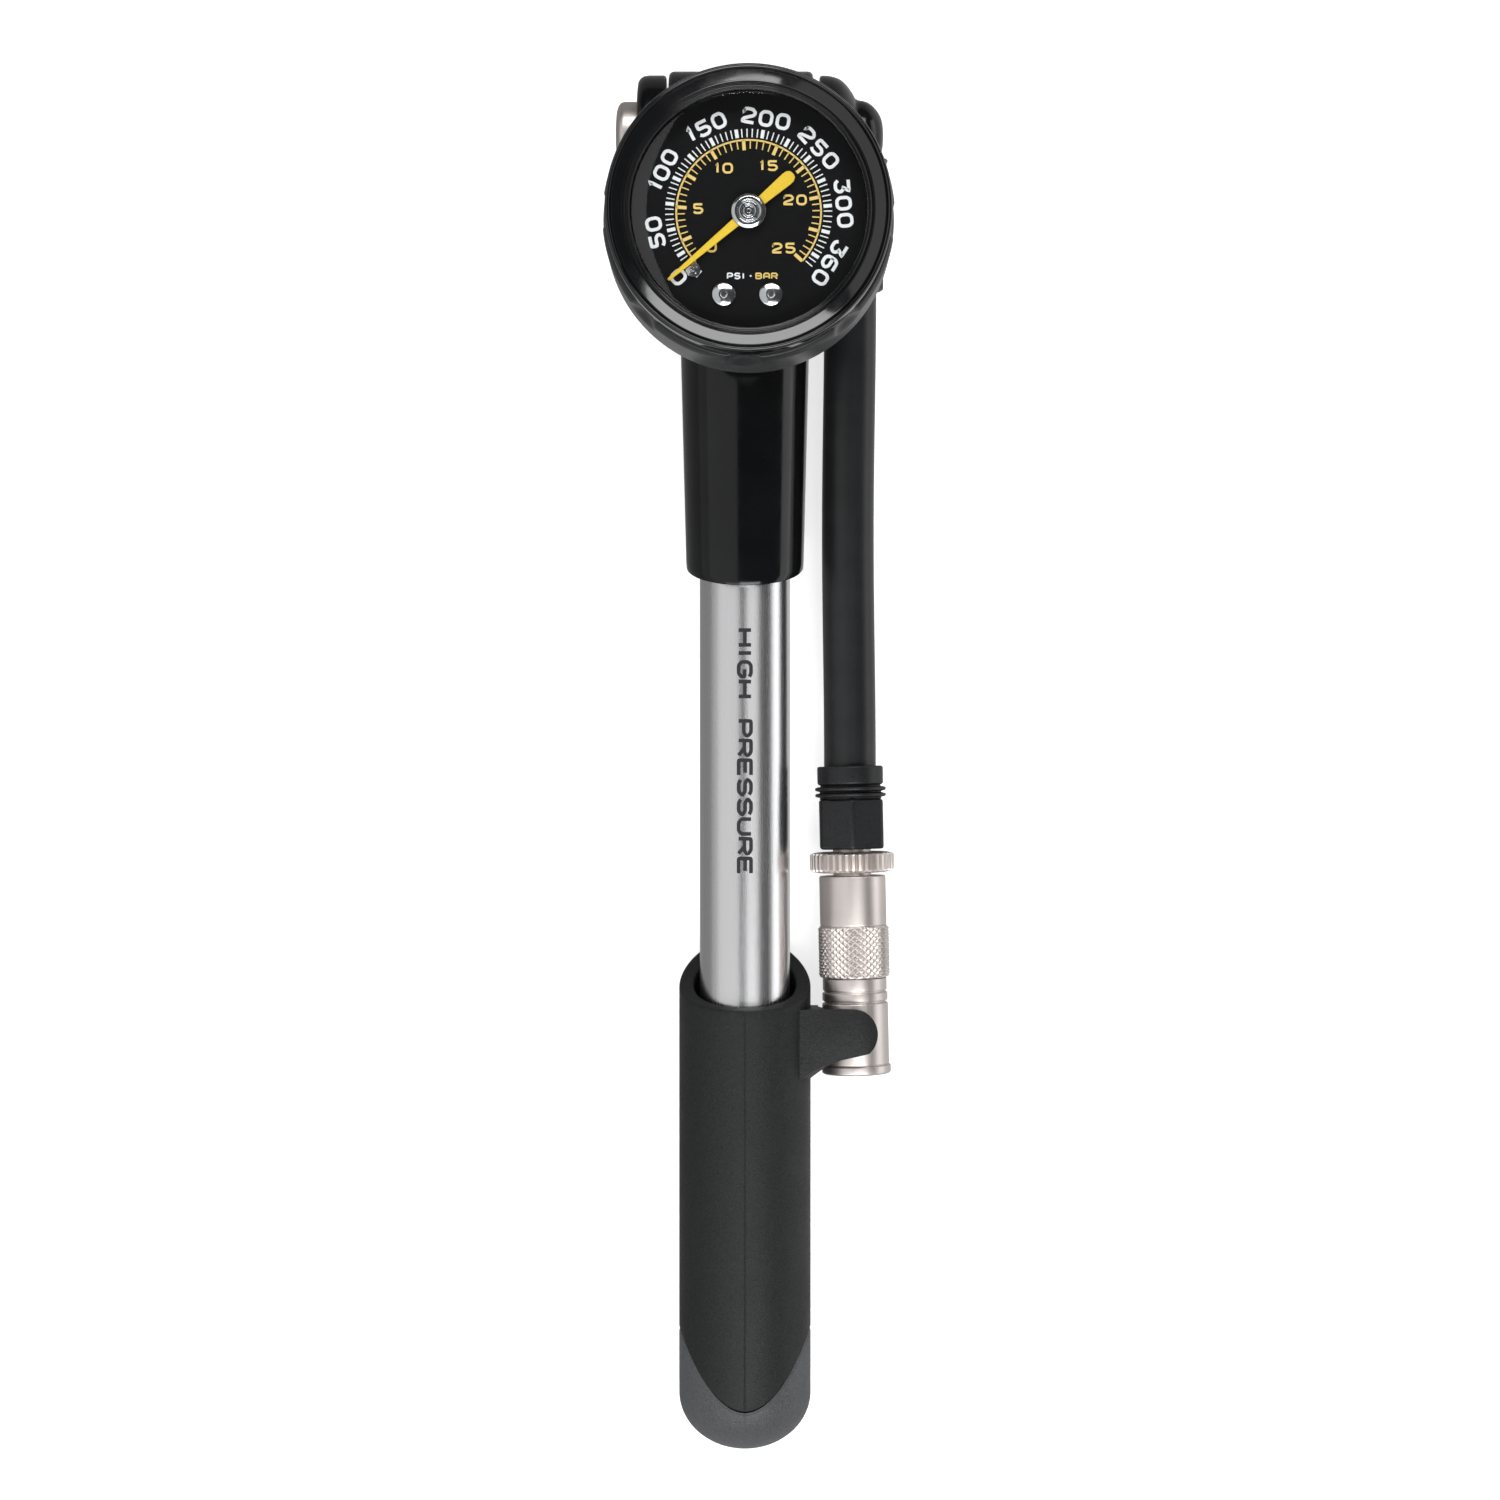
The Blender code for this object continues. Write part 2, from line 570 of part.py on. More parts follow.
def make_collars(looks, outlet, chuck):
    collar("hose_collar_upper", looks, outlet, UPPER_COLLAR_MOUTH, 79.6, 88.1, 90.4, 2.3)
    collar("hose_collar_lower", looks, chuck, 13.2, 10.4, 4.7, 0.1, 3.15)


# ---- Chuck: heights are along its own axis, from the lower collar's foot ----
def make_chuck(looks, chuck):
    turned(
        "chuck_stem",
        [(1.35, 9.5), (2.1, 9.5), (2.1, 4.5), (3.0, 4.5), (3.0, -6.5), (4.0, -6.5), (4.0, -8.0),
         (1.35, -8.0)],
        looks["nickel"], chuck,
    )
    gear_ring("thumb_wheel", WHEEL_R, WHEEL_R - 0.4, WHEEL_TEETH, -3.7, -0.4, 3.12, looks["nickel"], chuck)
    turned(
        "chuck_body",
        [(3.12, -4.1), (4.9, -4.1), (CHUCK_R, -4.45), (CHUCK_R, -11.9), (5.6, -12.2), (5.6, -19.9),
         (5.2, -20.2), (4.25, -20.2), (4.25, -6.2), (3.12, -6.2)],
        looks["nickel"], chuck,
    )
    turned(
        "chuck_nozzle",
        [(1.5, -9.0), (4.1, -9.0), (4.1, -20.3), (5.2, -20.3), (5.2, -22.4), (4.9, -22.6), (5.2, -22.8),
         (5.2, -24.2), (4.9, -24.4), (5.2, -24.6), (5.2, -33.8), (5.45, -34.2), (5.45, -35.4), (5.2, -35.7),
         (4.3, -35.7), (VALVE_BORE_R, -35.2), (VALVE_BORE_R, -18.6), (1.5, -18.6)],
        looks["nickel"], chuck,
    )
    disc("chuck_gasket", 3.8, -21.6, -18.75, looks["rubber"], chuck, hole=1.6, sides=SMALL)
    disc("depressor_pin", 1.2, -26.0, -2.0, looks["brass"], chuck, sides=SMALL)


def gear_ring(name, tip, root, teeth, low, high, hole, looks, parent):
    """A ring with a coin-edge rim."""
    outline = []
    for tooth in range(teeth):
        for share, reach in ((0.0, tip), (0.5, root)):
            turn = math.tau * (tooth + share) / teeth
            outline.append((reach * math.cos(turn), reach * math.sin(turn)))
    wheel = slab(name, outline, low, high, looks, parent)
    cut(wheel, disc(name + "_hole_guide", hole, low - 1, high + 1, None, parent))
    return wheel


# ---- Plunger: handle, rod and piston ----
def handle_solid(name, looks, pump):
    """The whole handle's outer shape: a straight grip with a domed end."""
    depth = HANDLE_DOME - HANDLE_END
    dome = []
    for turn in range(0, 90, 15):
        reach = math.radians(turn)
        dome.append((HANDLE_R * math.cos(reach), HANDLE_DOME - depth * math.sin(reach)))
    return turned(name, [(0, -20.0), (HANDLE_R, -20.0)] + dome + [(0, HANDLE_END)], looks, pump, 28)


def below_cap_line(name, raise_by):
    """Everything below the end cap's curved joint, as a hidden block."""
    line = []
    for step in range(-6, 7):
        side = step * 2.0
        rise = CAP_LINE_RISE * (side / HANDLE_R) ** 2
        line.append((side, CAP_LINE_LOW + rise + raise_by))
    block = slab(name, line + [(12.0, -112.0), (-12.0, -112.0)], -14, 14, None, None)
    block.matrix_world = Matrix.Translation(place(0, 0, 0))
    return block


def make_handle(looks, pump):
    grip = handle_solid("handle_grip", looks["matte_black"], pump)
    fuse(grip, hose_clip())
    cut(grip, slanted_block("mouth_guide", HANDLE_MOUTH, MOUTH_SLOPE, 1))
    cut(grip, disc("grip_bore_guide", HANDLE_BORE_R, HANDLE_FLOOR, 0.0, None, pump))
    cut(grip, below_cap_line("grip_end_guide", 0.2))
    cut(grip, disc("grip_screw_guide", 1.7, -99.0, -90.0, None, pump, sides=SMALL))
    cap = handle_solid("handle_end_cap", looks["grey"], pump)
    boolean(cap, below_cap_line("cap_end_guide", 0.0), "INTERSECT")
    cut(cap, disc("cap_bore_guide", HANDLE_BORE_R, HANDLE_FLOOR, 0.0, None, pump))
    cut(cap, disc("cap_pocket_guide", 3.2, -100.6, -90.0, None, pump, sides=SMALL))


def hose_clip():
    """The hook on the grip's side: a J round the chuck, open at the back, trimmed to a rounded tongue."""
    centre = CLIP_CENTRE
    outer = arc(centre, CLIP_OUTER_R, 62, 90, 4)
    inner = arc(centre, CLIP_INNER_R, 180, 62, 12)
    root = [(8.4, centre[1] + CLIP_OUTER_R), (8.6, -4.4), (centre[0] - CLIP_INNER_R, -4.4)]
    section = outer + root + inner
    hook = slab("clip_section_guide", section, CLIP_FOOT - 2, CLIP_TOP + 2, None, None)
    hook.matrix_world = Matrix.Translation(place(0, 0, 0)) @ Matrix(
        ((1, 0, 0, 0), (0, 0, 1, 0), (0, 1, 0, 0), (0, 0, 0, 1))
    )
    tongue = [(4.0, CLIP_TOP), (17.4, CLIP_TOP)] + arc((16.9, CLIP_TOP - 3.9), 3.9, 80, -60, 8)
    tongue += [(11.5, CLIP_FOOT + 2.4), (8.4, CLIP_FOOT), (4.0, CLIP_FOOT)]
    trim = slab("clip_tongue_guide", tongue, -12, 12, None, None)
    trim.matrix_world = Matrix.Translation(place(0, 0, 0))
    return boolean(hook, trim, "INTERSECT")


def make_plunger(looks, pump):
    turned(
        "piston_rod",
        [(0, 71.5), (2.0, 71.5), (2.0, 64.5), (3.0, 64.5), (3.0, -94.3), (1.6, -94.3), (1.6, -88.0),
         (0, -88.0)],
        looks["steel"], pump,
    )
    turned(
        "piston",
        [(0, 75.0), (5.5, 75.0), (5.5, 71.5), (4.75, 71.5), (4.75, 70.1), (5.5, 70.1), (5.5, 64.6),
         (2.1, 64.6), (2.1, 71.7), (0, 71.7)],
        looks["brass"], pump, ROUND,
    )
    ring("piston_seal", 5.2, 0.75, 70.8, looks["rubber"], pump, ROUND)
    disc("rod_bumper", 5.2, 61.5, 64.4, looks["rubber"], pump, hole=3.1)
    turned(
        "rod_screw",
        [(0, -89.0), (1.5, -89.0), (1.5, -97.9), (2.8, -97.9), (2.8, -99.9), (0, -99.9)],
        looks["steel"], pump, SMALL,
    )


def main():
    clear_scene()
    looks = make_materials()
    pump = axis_empty("pump_axis", (0, 0, 0), (0, 1, 0))
    cross = axis_empty("cross_axis", (0, CROSS_ALONG, 0), (1, 0, 0), (0, 1, 0))
    gauge = axis_empty("gauge_axis", (GAUGE_SIDE, GAUGE_ALONG, 0), (0, 0, 1))
    pivot = polar(PINION_R + SECTOR_R, PIVOT_ANGLE)
    sector_axis = axis_empty(
        "sector_axis", (GAUGE_SIDE + pivot[0], GAUGE_ALONG + pivot[1], 0), (0, 0, 1),
        (-pivot[0], -pivot[1], 0)
    )
    outlet = axis_empty("outlet_axis", (HOSE_SIDE, 0, 0), (0, 1, 0))
    lean = (-math.sin(CHUCK_LEAN), math.cos(CHUCK_LEAN), 0)
    chuck = axis_empty("chuck_axis", CHUCK_TOP, lean)
    make_head(looks, pump, cross, gauge)
    make_sleeve(looks, pump)
    make_barrel(looks, pump)
    make_check_valve(looks, pump)
    make_gauge_shell(looks, gauge)
    make_gauge_works(looks, gauge, sector_axis)
    make_dial(looks, gauge)
    make_pointer(looks, gauge)
    make_bleeder(looks, cross)
    make_swivel(looks, cross, outlet)
    make_hose(looks, outlet)
    make_collars(looks, outlet, chuck)
    make_chuck(looks, chuck)
    make_handle(looks, pump)
    make_plunger(looks, pump)


main()
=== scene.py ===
"""Looks of the mini pump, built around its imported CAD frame.

Sizes are in millimetres. A place is (side, along, up): side and up from the barrel's axis, along from a
point near mid length, positive towards the head. Each piece is made in the frame of the axis that it is
turned about, in millimetres, and its points are then put in the row frame, in metres.
"""

import json
import math

import bmesh
import bpy
import numpy as np
from mathutils import Matrix, Vector


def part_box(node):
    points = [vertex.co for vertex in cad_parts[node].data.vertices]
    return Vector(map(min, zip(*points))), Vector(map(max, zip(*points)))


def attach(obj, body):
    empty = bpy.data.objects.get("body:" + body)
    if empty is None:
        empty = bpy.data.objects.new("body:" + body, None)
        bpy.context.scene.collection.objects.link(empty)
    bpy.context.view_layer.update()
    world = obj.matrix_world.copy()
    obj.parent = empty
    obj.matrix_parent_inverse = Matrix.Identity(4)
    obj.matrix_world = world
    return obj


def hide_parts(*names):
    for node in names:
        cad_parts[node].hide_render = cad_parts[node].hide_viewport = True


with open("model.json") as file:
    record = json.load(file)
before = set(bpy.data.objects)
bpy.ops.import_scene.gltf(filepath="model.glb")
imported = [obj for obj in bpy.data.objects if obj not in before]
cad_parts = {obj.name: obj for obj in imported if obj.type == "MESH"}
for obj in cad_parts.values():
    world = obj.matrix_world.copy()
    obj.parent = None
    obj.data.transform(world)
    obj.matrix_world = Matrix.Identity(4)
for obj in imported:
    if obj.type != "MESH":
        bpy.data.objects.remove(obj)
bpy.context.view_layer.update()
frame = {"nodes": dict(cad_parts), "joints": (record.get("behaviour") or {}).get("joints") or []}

MM = 0.001

# ---- Where things are, from the frame ----
BARREL_LOW, BARREL_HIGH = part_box("barrel")
BARREL_TOP = 76.0
SIDE_ZERO = (BARREL_LOW.x + BARREL_HIGH.x) / 2
UP_ZERO = (BARREL_LOW.z + BARREL_HIGH.z) / 2
ALONG_ZERO = BARREL_HIGH.y - BARREL_TOP * MM
JOINTS = {joint["name"]: joint for joint in frame["joints"]}


def place(side, along, up):
    return Vector((SIDE_ZERO + side * MM, ALONG_ZERO + along * MM, UP_ZERO + up * MM))


def axis_frame(origin, z_along, x_along=(1, 0, 0)):
    """The matrix from millimetres about an axis to the row frame in metres."""
    z = Vector(z_along).normalized()
    y = z.cross(Vector(x_along)).normalized()
    turn = Matrix((y.cross(z), y, z)).transposed().to_4x4()
    return Matrix.Translation(origin) @ turn @ Matrix.Scale(MM, 4)


def joint_point(name):
    return Vector(JOINTS[name]["pos_m"])


GAUGE_POINT = joint_point("pointer_turn")
GAUGE_POINT.z = UP_ZERO
CROSS_POINT = joint_point("hose_swing")
HOSE_SIDE = (CROSS_POINT.x - SIDE_ZERO) / MM
CROSS_ALONG = (CROSS_POINT.y - ALONG_ZERO) / MM
CHUCK_UP_AXIS = Vector(JOINTS["chuck_turn"]["axis"])
CHUCK_HEIGHT = -20.0  # of the chuck joint's point, below the lower collar's foot

PUMP = axis_frame(place(0, 0, 0), (0, 1, 0))
FLAT = Matrix.Translation(place(0, 0, 0)) @ Matrix.Scale(MM, 4)  # x is side, y is along, z is up
CROSS = axis_frame(place(0, CROSS_ALONG, 0), (1, 0, 0), (0, 1, 0))
GAUGE = Matrix.Translation(GAUGE_POINT) @ Matrix.Scale(MM, 4)
OUTLET = axis_frame(place(HOSE_SIDE, 0, 0), (0, 1, 0))
CHUCK = axis_frame(joint_point("chuck_turn") - CHUCK_UP_AXIS * CHUCK_HEIGHT * MM, CHUCK_UP_AXIS)
FRONT = -math.pi / 2  # the angle about the pump's axis that faces up, out of the dial


# ---- Mesh tools ----
def mesh_piece(name, points, faces, matrix, merge=1e-5):
    """An object from points in millimetres and faces, welded, with its normals out."""
    mesh = bpy.data.meshes.new(name)
    mesh.from_pydata([tuple(point) for point in points], [], faces)
    bm = bmesh.new()
    bm.from_mesh(mesh)
    bmesh.ops.remove_doubles(bm, verts=bm.verts, dist=merge)
    bmesh.ops.transform(bm, matrix=matrix, verts=bm.verts)
    bmesh.ops.recalc_face_normals(bm, faces=bm.faces)
    bm.to_mesh(mesh)
    bm.free()
    piece = bpy.data.objects.new(name, mesh)
    bpy.context.scene.collection.objects.link(piece)
    smooth(piece)
    return piece


def smooth(piece, angle=32):
    piece.data.shade_smooth()
    piece.data.set_sharp_from_angle(angle=math.radians(angle))


def rounded(points, steps=4):
    """An outline with its corners rounded. A point is (radius, height), or (radius, height, corner)."""
    count = len(points)
    made = []
    for number, point in enumerate(points):
        corner = point[2] if len(point) > 2 else 0
        spot = Vector(point[:2])
        if not corner:
            made.append(tuple(spot))
            continue
        before = Vector(points[number - 1][:2]) - spot
        after = Vector(points[(number + 1) % count][:2]) - spot
        reach = min(corner, 0.49 * before.length, 0.49 * after.length)
        start = spot + before.normalized() * reach
        stop = spot + after.normalized() * reach
        for step in range(steps + 1):
            share = step / steps
            made.append(tuple(start * (1 - share) ** 2 + spot * 2 * share * (1 - share) + stop * share**2))
    return made


def even_angles(steps):
    return np.arange(steps) * math.tau / steps


def revolve(name, outline, matrix, steps=96, shape=None, angles=None):
    """An outline of (radius, height) turned about Z. shape(angle, radius, height) may then move its rings."""
    angles = even_angles(steps) if angles is None else np.sort(np.asarray(angles))
    line = np.array(outline, float)
    turn = np.repeat(angles[:, None], len(line), axis=1)
    radius = np.repeat(line[None, :, 0], len(angles), axis=0)
    height = np.repeat(line[None, :, 1], len(angles), axis=0)
    if shape:
        radius, height = shape(turn, radius, height)
    points = np.stack([radius * np.cos(turn), radius * np.sin(turn), height], axis=2).reshape(-1, 3)
    rows = len(line)
    on_axis = line[0, 0] == 0 and line[-1, 0] == 0
    faces = []
    for spoke in range(len(angles)):
        following = (spoke + 1) % len(angles)
        for row in range(rows - 1 if on_axis else rows):
            under = (row + 1) % rows
            faces.append((spoke * rows + row, following * rows + row, following * rows + under,
                          spoke * rows + under))
    return mesh_piece(name, points, faces, matrix)


def layered(name, layers, matrix):
    """A solid through outlines of equal count, each layer (outline, height along Z)."""
    count = len(layers[0][0])
    points = [(x, y, height) for outline, height in layers for x, y in outline]
    top = count * (len(layers) - 1)
    faces = [tuple(range(count))[::-1], tuple(range(top, top + count))]
    for base in range(0, top, count):
        for i in range(count):
            following = (i + 1) % count
            faces.append((base + i, base + following, base + following + count, base + i + count))
    return mesh_piece(name, points, faces, matrix)


def prism(name, outline, low, high, matrix):
    """A flat outline given a thickness along Z."""
    return layered(name, [(outline, low), (outline, high)], matrix)


def arc(centre, radius, start, stop, steps):
    """Points of a circle from one angle in degrees to another."""
    points = []
    for step in range(steps + 1):
        turn = math.radians(start + (stop - start) * step / steps)
        points.append((centre[0] + radius * math.cos(turn), centre[1] + radius * math.sin(turn)))
    return points


def applied(piece):
    """Bakes a piece's modifiers into its mesh."""
    bpy.context.view_layer.update()
    shaped = piece.evaluated_get(bpy.context.evaluated_depsgraph_get())
    mesh = bpy.data.meshes.new_from_object(shaped)
    piece.modifiers.clear()
    piece.data = mesh


def combine(target, other, operation):
    """Boolean with another piece, which is then removed."""
    modifier = target.modifiers.new(operation, "BOOLEAN")
    modifier.operation = operation
    modifier.solver = "EXACT"
    modifier.object = other
    applied(target)
    bpy.data.objects.remove(other, do_unlink=True)
    smooth(target)


def bevelled(piece, width, segments=3, angle=40):
    modifier = piece.modifiers.new("edges", "BEVEL")
    modifier.width = width * MM
    modifier.segments = segments
    modifier.limit_method = "ANGLE"
    modifier.angle_limit = math.radians(angle)
    modifier.use_clamp_overlap = True
    applied(piece)
    smooth(piece)
    return piece


def dress(piece, looks):
    piece.data.materials.clear()
    piece.data.materials.append(LOOKS[looks][1])


def fit_out(piece, body, looks, *nodes):
    """Gives a piece its material, its body and the CAD nodes that it stands for."""
    dress(piece, looks)
    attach(piece, body)
    if nodes:
        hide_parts(*nodes)


def turned(body, looks, node, *revolved):
    """A piece turned about an axis, and fitted out."""
    fit_out(revolve(*revolved), body, looks, node)


# ---- Materials ----
def new_material(name, colour, roughness, metallic=0.0, **sockets):
    made = bpy.data.materials.new(name)
    made.use_nodes = True
    shader = made.node_tree.nodes["Principled BSDF"]
    shader.inputs["Base Color"].default_value = (*colour, 1.0)
    shader.inputs["Roughness"].default_value = roughness
    shader.inputs["Metallic"].default_value = metallic
    for socket, value in sockets.items():
        shader.inputs[socket.replace("_", " ")].default_value = value
    return made


def grain_node(made, size_mm, stretch=(1, 1, 1), detail=3.0):
    """Noise of a given grain size, in the object's own space, stretched along axes if asked."""
    nodes, links = made.node_tree.nodes, made.node_tree.links
    space = nodes.new("ShaderNodeTexCoord")
    mapping = nodes.new("ShaderNodeMapping")
    mapping.inputs["Scale"].default_value = [1 / (size_mm * MM * amount) for amount in stretch]
    noise = nodes.new("ShaderNodeTexNoise")
    noise.inputs["Scale"].default_value = 1.0
    noise.inputs["Detail"].default_value = detail
    links.new(space.outputs["Object"], mapping.inputs["Vector"])
    links.new(mapping.outputs["Vector"], noise.inputs["Vector"])
    return noise.outputs["Fac"]


def ranged(tree, source, start, stop, low, high):
    """A node that maps a value's range to another."""
    node = tree.nodes.new("ShaderNodeMapRange")
    for socket, value in (("From Min", start), ("From Max", stop), ("To Min", low), ("To Max", high)):
        node.inputs[socket].default_value = value
    tree.links.new(source, node.inputs["Value"])
    return node


def shader_input(made, socket):
    return made.node_tree.nodes["Principled BSDF"].inputs[socket]


def spread(made, source, low, high, socket):
    """Maps a noise to a range of values on one of the shader's sockets."""
    node = ranged(made.node_tree, source, 0.3, 0.7, low, high)
    made.node_tree.links.new(node.outputs["Result"], shader_input(made, socket))


def tint(made, source, dark, light):
    """Maps a noise to the shader's colour, between two colours."""
    ramp = made.node_tree.nodes.new("ShaderNodeValToRGB")
    for element, position, colour in zip(ramp.color_ramp.elements, (0.35, 0.65), (dark, light)):
        element.position = position
        element.color = (*colour, 1)
    made.node_tree.links.new(source, ramp.inputs["Fac"])
    made.node_tree.links.new(ramp.outputs["Color"], shader_input(made, "Base Color"))


def relief(made, *layers):
    """Bump from one or more (source, depth in mm, strength) layers."""
    previous = None
    for source, depth, strength in layers:
        bump = made.node_tree.nodes.new("ShaderNodeBump")
        bump.inputs["Distance"].default_value = depth * MM
        bump.inputs["Strength"].default_value = strength
        made.node_tree.links.new(source, bump.inputs["Height"])
        if previous:
            made.node_tree.links.new(previous, bump.inputs["Normal"])
        previous = bump.outputs["Normal"]
    made.node_tree.links.new(previous, shader_input(made, "Normal"))


def shaded(colour, factor):
    return tuple(channel * factor for channel in colour)


def moulded_plastic(name, colour, roughness, grain=0.16, depth=0.03, strength=0.35, specular=0.5, mottle=0.3):
    """Spark-eroded plastic: fine grain, with slow changes of tone and gloss."""
    made = new_material(name, colour, roughness, Specular_IOR_Level=specular)
    fine = grain_node(made, grain, detail=2.0)
    tint(made, fine, shaded(colour, 1 - mottle), shaded(colour, 1 + mottle))
    spread(made, grain_node(made, 6.0), roughness - 0.05, roughness + 0.06, "Roughness")
    relief(made, (fine, depth, strength), (grain_node(made, 0.7), depth, strength * 0.3))
    return made


def polished_plastic(name, colour, roughness, specular=0.5, **sockets):
    """Glossy plastic with a slight orange peel and faint handling marks."""
    made = new_material(name, colour, roughness, Specular_IOR_Level=specular, **sockets)
    spread(made, grain_node(made, 3.0, detail=6.0), roughness - 0.04, roughness + 0.05, "Roughness")
    tint(made, grain_node(made, 9.0), shaded(colour, 0.85), shaded(colour, 1.2))
    relief(made, (grain_node(made, 1.2, detail=1.0), 0.004, 0.35), (grain_node(made, 0.12), 0.002, 0.2))
    return made


def soft_rubber(name, colour, roughness):
    made = new_material(name, colour, roughness, Specular_IOR_Level=0.36, Sheen_Weight=0.05, Sheen_Roughness=0.5)
    fine = grain_node(made, 0.1)
    tint(made, grain_node(made, 4.0), shaded(colour, 0.85), shaded(colour, 1.25))
    spread(made, fine, roughness - 0.05, roughness + 0.07, "Roughness")
    relief(made, (fine, 0.01, 0.3))
    return made


def worked_metal(name, colour, roughness, streak, strength=0.25, speckle=0.0):
    """Metal with the marks of its making: streaks of a direction, a speckle, and slow changes of gloss."""
    made = new_material(name, colour, roughness, 1.0)
    lines = grain_node(made, 0.12, streak, detail=2.0)
    spread(made, lines, roughness - 0.02, roughness + 0.03, "Roughness")
    tint(made, grain_node(made, 5.0, streak), shaded(colour, 0.95), shaded(colour, 1.03))
    layers = [(lines, 0.004, strength)]
    if speckle:
        layers.append((grain_node(made, 0.17, detail=1.0), speckle, 0.6))
    relief(made, *layers)
    return made


def printed_ink(name, colour):
    made = new_material(name, colour, 0.55, Specular_IOR_Level=0.3)
    tint(made, grain_node(made, 0.3), shaded(colour, 0.93), colour)
    relief(made, (grain_node(made, 0.08), 0.004, 0.3))
    return made


def clear_lens():
    """A clear pane that lamps shine through, with a clean reflection that grows towards its rim."""
    made = bpy.data.materials.new("clear acrylic")
    made.use_nodes = True
    nodes, links = made.node_tree.nodes, made.node_tree.links
    nodes.remove(nodes["Principled BSDF"])
    see_through = nodes.new("ShaderNodeBsdfTransparent")
    see_through.inputs["Color"].default_value = (0.97, 0.98, 0.985, 1)
    gloss = nodes.new("ShaderNodeBsdfAnisotropic")
    gloss.inputs["Color"].default_value = (1, 1, 1, 1)
    gloss.inputs["Roughness"].default_value = 0.04
    fresnel = nodes.new("ShaderNodeFresnel")
    fresnel.inputs["IOR"].default_value = 1.58
    geometry = nodes.new("ShaderNodeNewGeometry")
    front_only = nodes.new("ShaderNodeMath")
    front_only.operation = "SUBTRACT"
    front_only.use_clamp = True
    mix = nodes.new("ShaderNodeMixShader")
    for source, socket in (
        (fresnel.outputs["Fac"], front_only.inputs[0]), (geometry.outputs["Backfacing"], front_only.inputs[1]),
        (front_only.outputs["Value"], mix.inputs["Fac"]), (see_through.outputs["BSDF"], mix.inputs[1]),
        (gloss.outputs["BSDF"], mix.inputs[2]),
        (mix.outputs["Shader"], nodes["Material Output"].inputs["Surface"]),
    ):
        links.new(source, socket)
    return made


ALONG_AXIS = (1, 150, 1)  # streaks drawn out along the pump
ROUND_AXIS = (12, 1, 12)  # turning marks around it
LOOKS = {  # each with its material slot in the record
    "gloss": ("gloss_black", polished_plastic("glossy black plastic", (0.004, 0.0043, 0.0048), 0.14, 0.34)),
    "bezel": ("gloss_black", polished_plastic("bezel black", (0.004, 0.0043, 0.005), 0.1, Coat_Weight=0.35,
                                              Coat_Roughness=0.05)),
    "matte": ("matte_black", moulded_plastic("matte black plastic", (0.0092, 0.0098, 0.0104), 0.5, grain=0.24,
                                             depth=0.1, strength=0.9, specular=0.3, mottle=0.5)),
    "grey": ("grey_plastic", moulded_plastic("grey plastic", (0.058, 0.06, 0.065), 0.55, 0.2, 0.03, 0.4, 0.4)),
    "collar": ("matte_black", moulded_plastic("collar plastic", (0.009, 0.0095, 0.0105), 0.42, 0.3, 0.04, 0.35,
                                              0.34)),
    "boot": ("rubber", soft_rubber("boot rubber", (0.009, 0.0095, 0.0105), 0.34)),
    "hose": ("rubber", soft_rubber("hose rubber", (0.008, 0.0085, 0.0095), 0.38)),
    "seal": ("rubber", soft_rubber("seal rubber", (0.012, 0.012, 0.013), 0.55)),
    "barrel": ("aluminium", worked_metal("satin aluminium", (0.71, 0.71, 0.72), 0.25, ALONG_AXIS, strength=0.1,
                                         speckle=0.02)),
    "steel": ("bright_steel", worked_metal("bright steel", (0.7, 0.7, 0.71), 0.16, ROUND_AXIS)),
    "nickel": ("satin_nickel", worked_metal("satin nickel", (0.68, 0.627, 0.6), 0.39, ROUND_AXIS)),
    "brass": ("brass", worked_metal("brass", (0.75, 0.55, 0.27), 0.32, ROUND_AXIS)),
    "dial": ("dial_black", moulded_plastic("dial black", (0.0025, 0.0025, 0.003), 0.6, 0.06, 0.004, 0.3, 0.12)),
    "white_ink": ("dial_black", printed_ink("white ink", (0.93, 0.93, 0.93))),
    "yellow_ink": ("dial_black", printed_ink("yellow ink", (0.93, 0.66, 0.2))),
    "grey_ink": ("aluminium", printed_ink("etched grey", (0.022, 0.022, 0.025))),
    "pointer": ("pointer_yellow", printed_ink("pointer yellow", (0.93, 0.62, 0.04))),
    "lens": ("clear_lens", clear_lens()),
}


# ---- Stage, light and camera ----
FLOOR_REACH, FLOOR_LOW, FLOOR_TOP = 2000, -10, -0.02
FLOOR_GLOW = 0.62
SKY = 0.06  # the studio's dim light from above
# And its light from below the horizon, at the left and head, and at the right and foot.
SURROUND_LOW, SURROUND_HIGH = 0.26, 0.65
# Soft boxes: name, lean to the side and along in degrees off the vertical, distance, size across and
# along in metres, and brightness.
SOFT_BOXES = (
    ("left_box", -44, 0, 0.7, 0.81, 1.1, 0.72),
    ("left_wing", -84, 0, 0.6, 0.2, 1.0, 0.42),
    ("metal_box", 19.5, 0, 0.9, 0.533, 1.1, 0.74),
    ("right_strip", 86, 0, 0.6, 0.25, 1.0, 1.55),
    ("head_key", 8, -48, 0.8, 0.7, 0.24, 6.5),
    ("foot_key", 12, 31, 0.8, 0.6, 0.3, 6.5),
    ("foot_fill", -12, 46, 0.8, 0.9, 0.6, 1.8),
)
METAL_PIECES = ("barrel_tube", "chuck_body_shell", "chuck_nozzle_shell", "thumb_wheel_ring", "chuck_stem_tube",
                "bleeder_button_cap", "piston_rod_bar", "floor")
LIT_HEIGHT = 0.02  # of the point that the soft boxes face, in metres


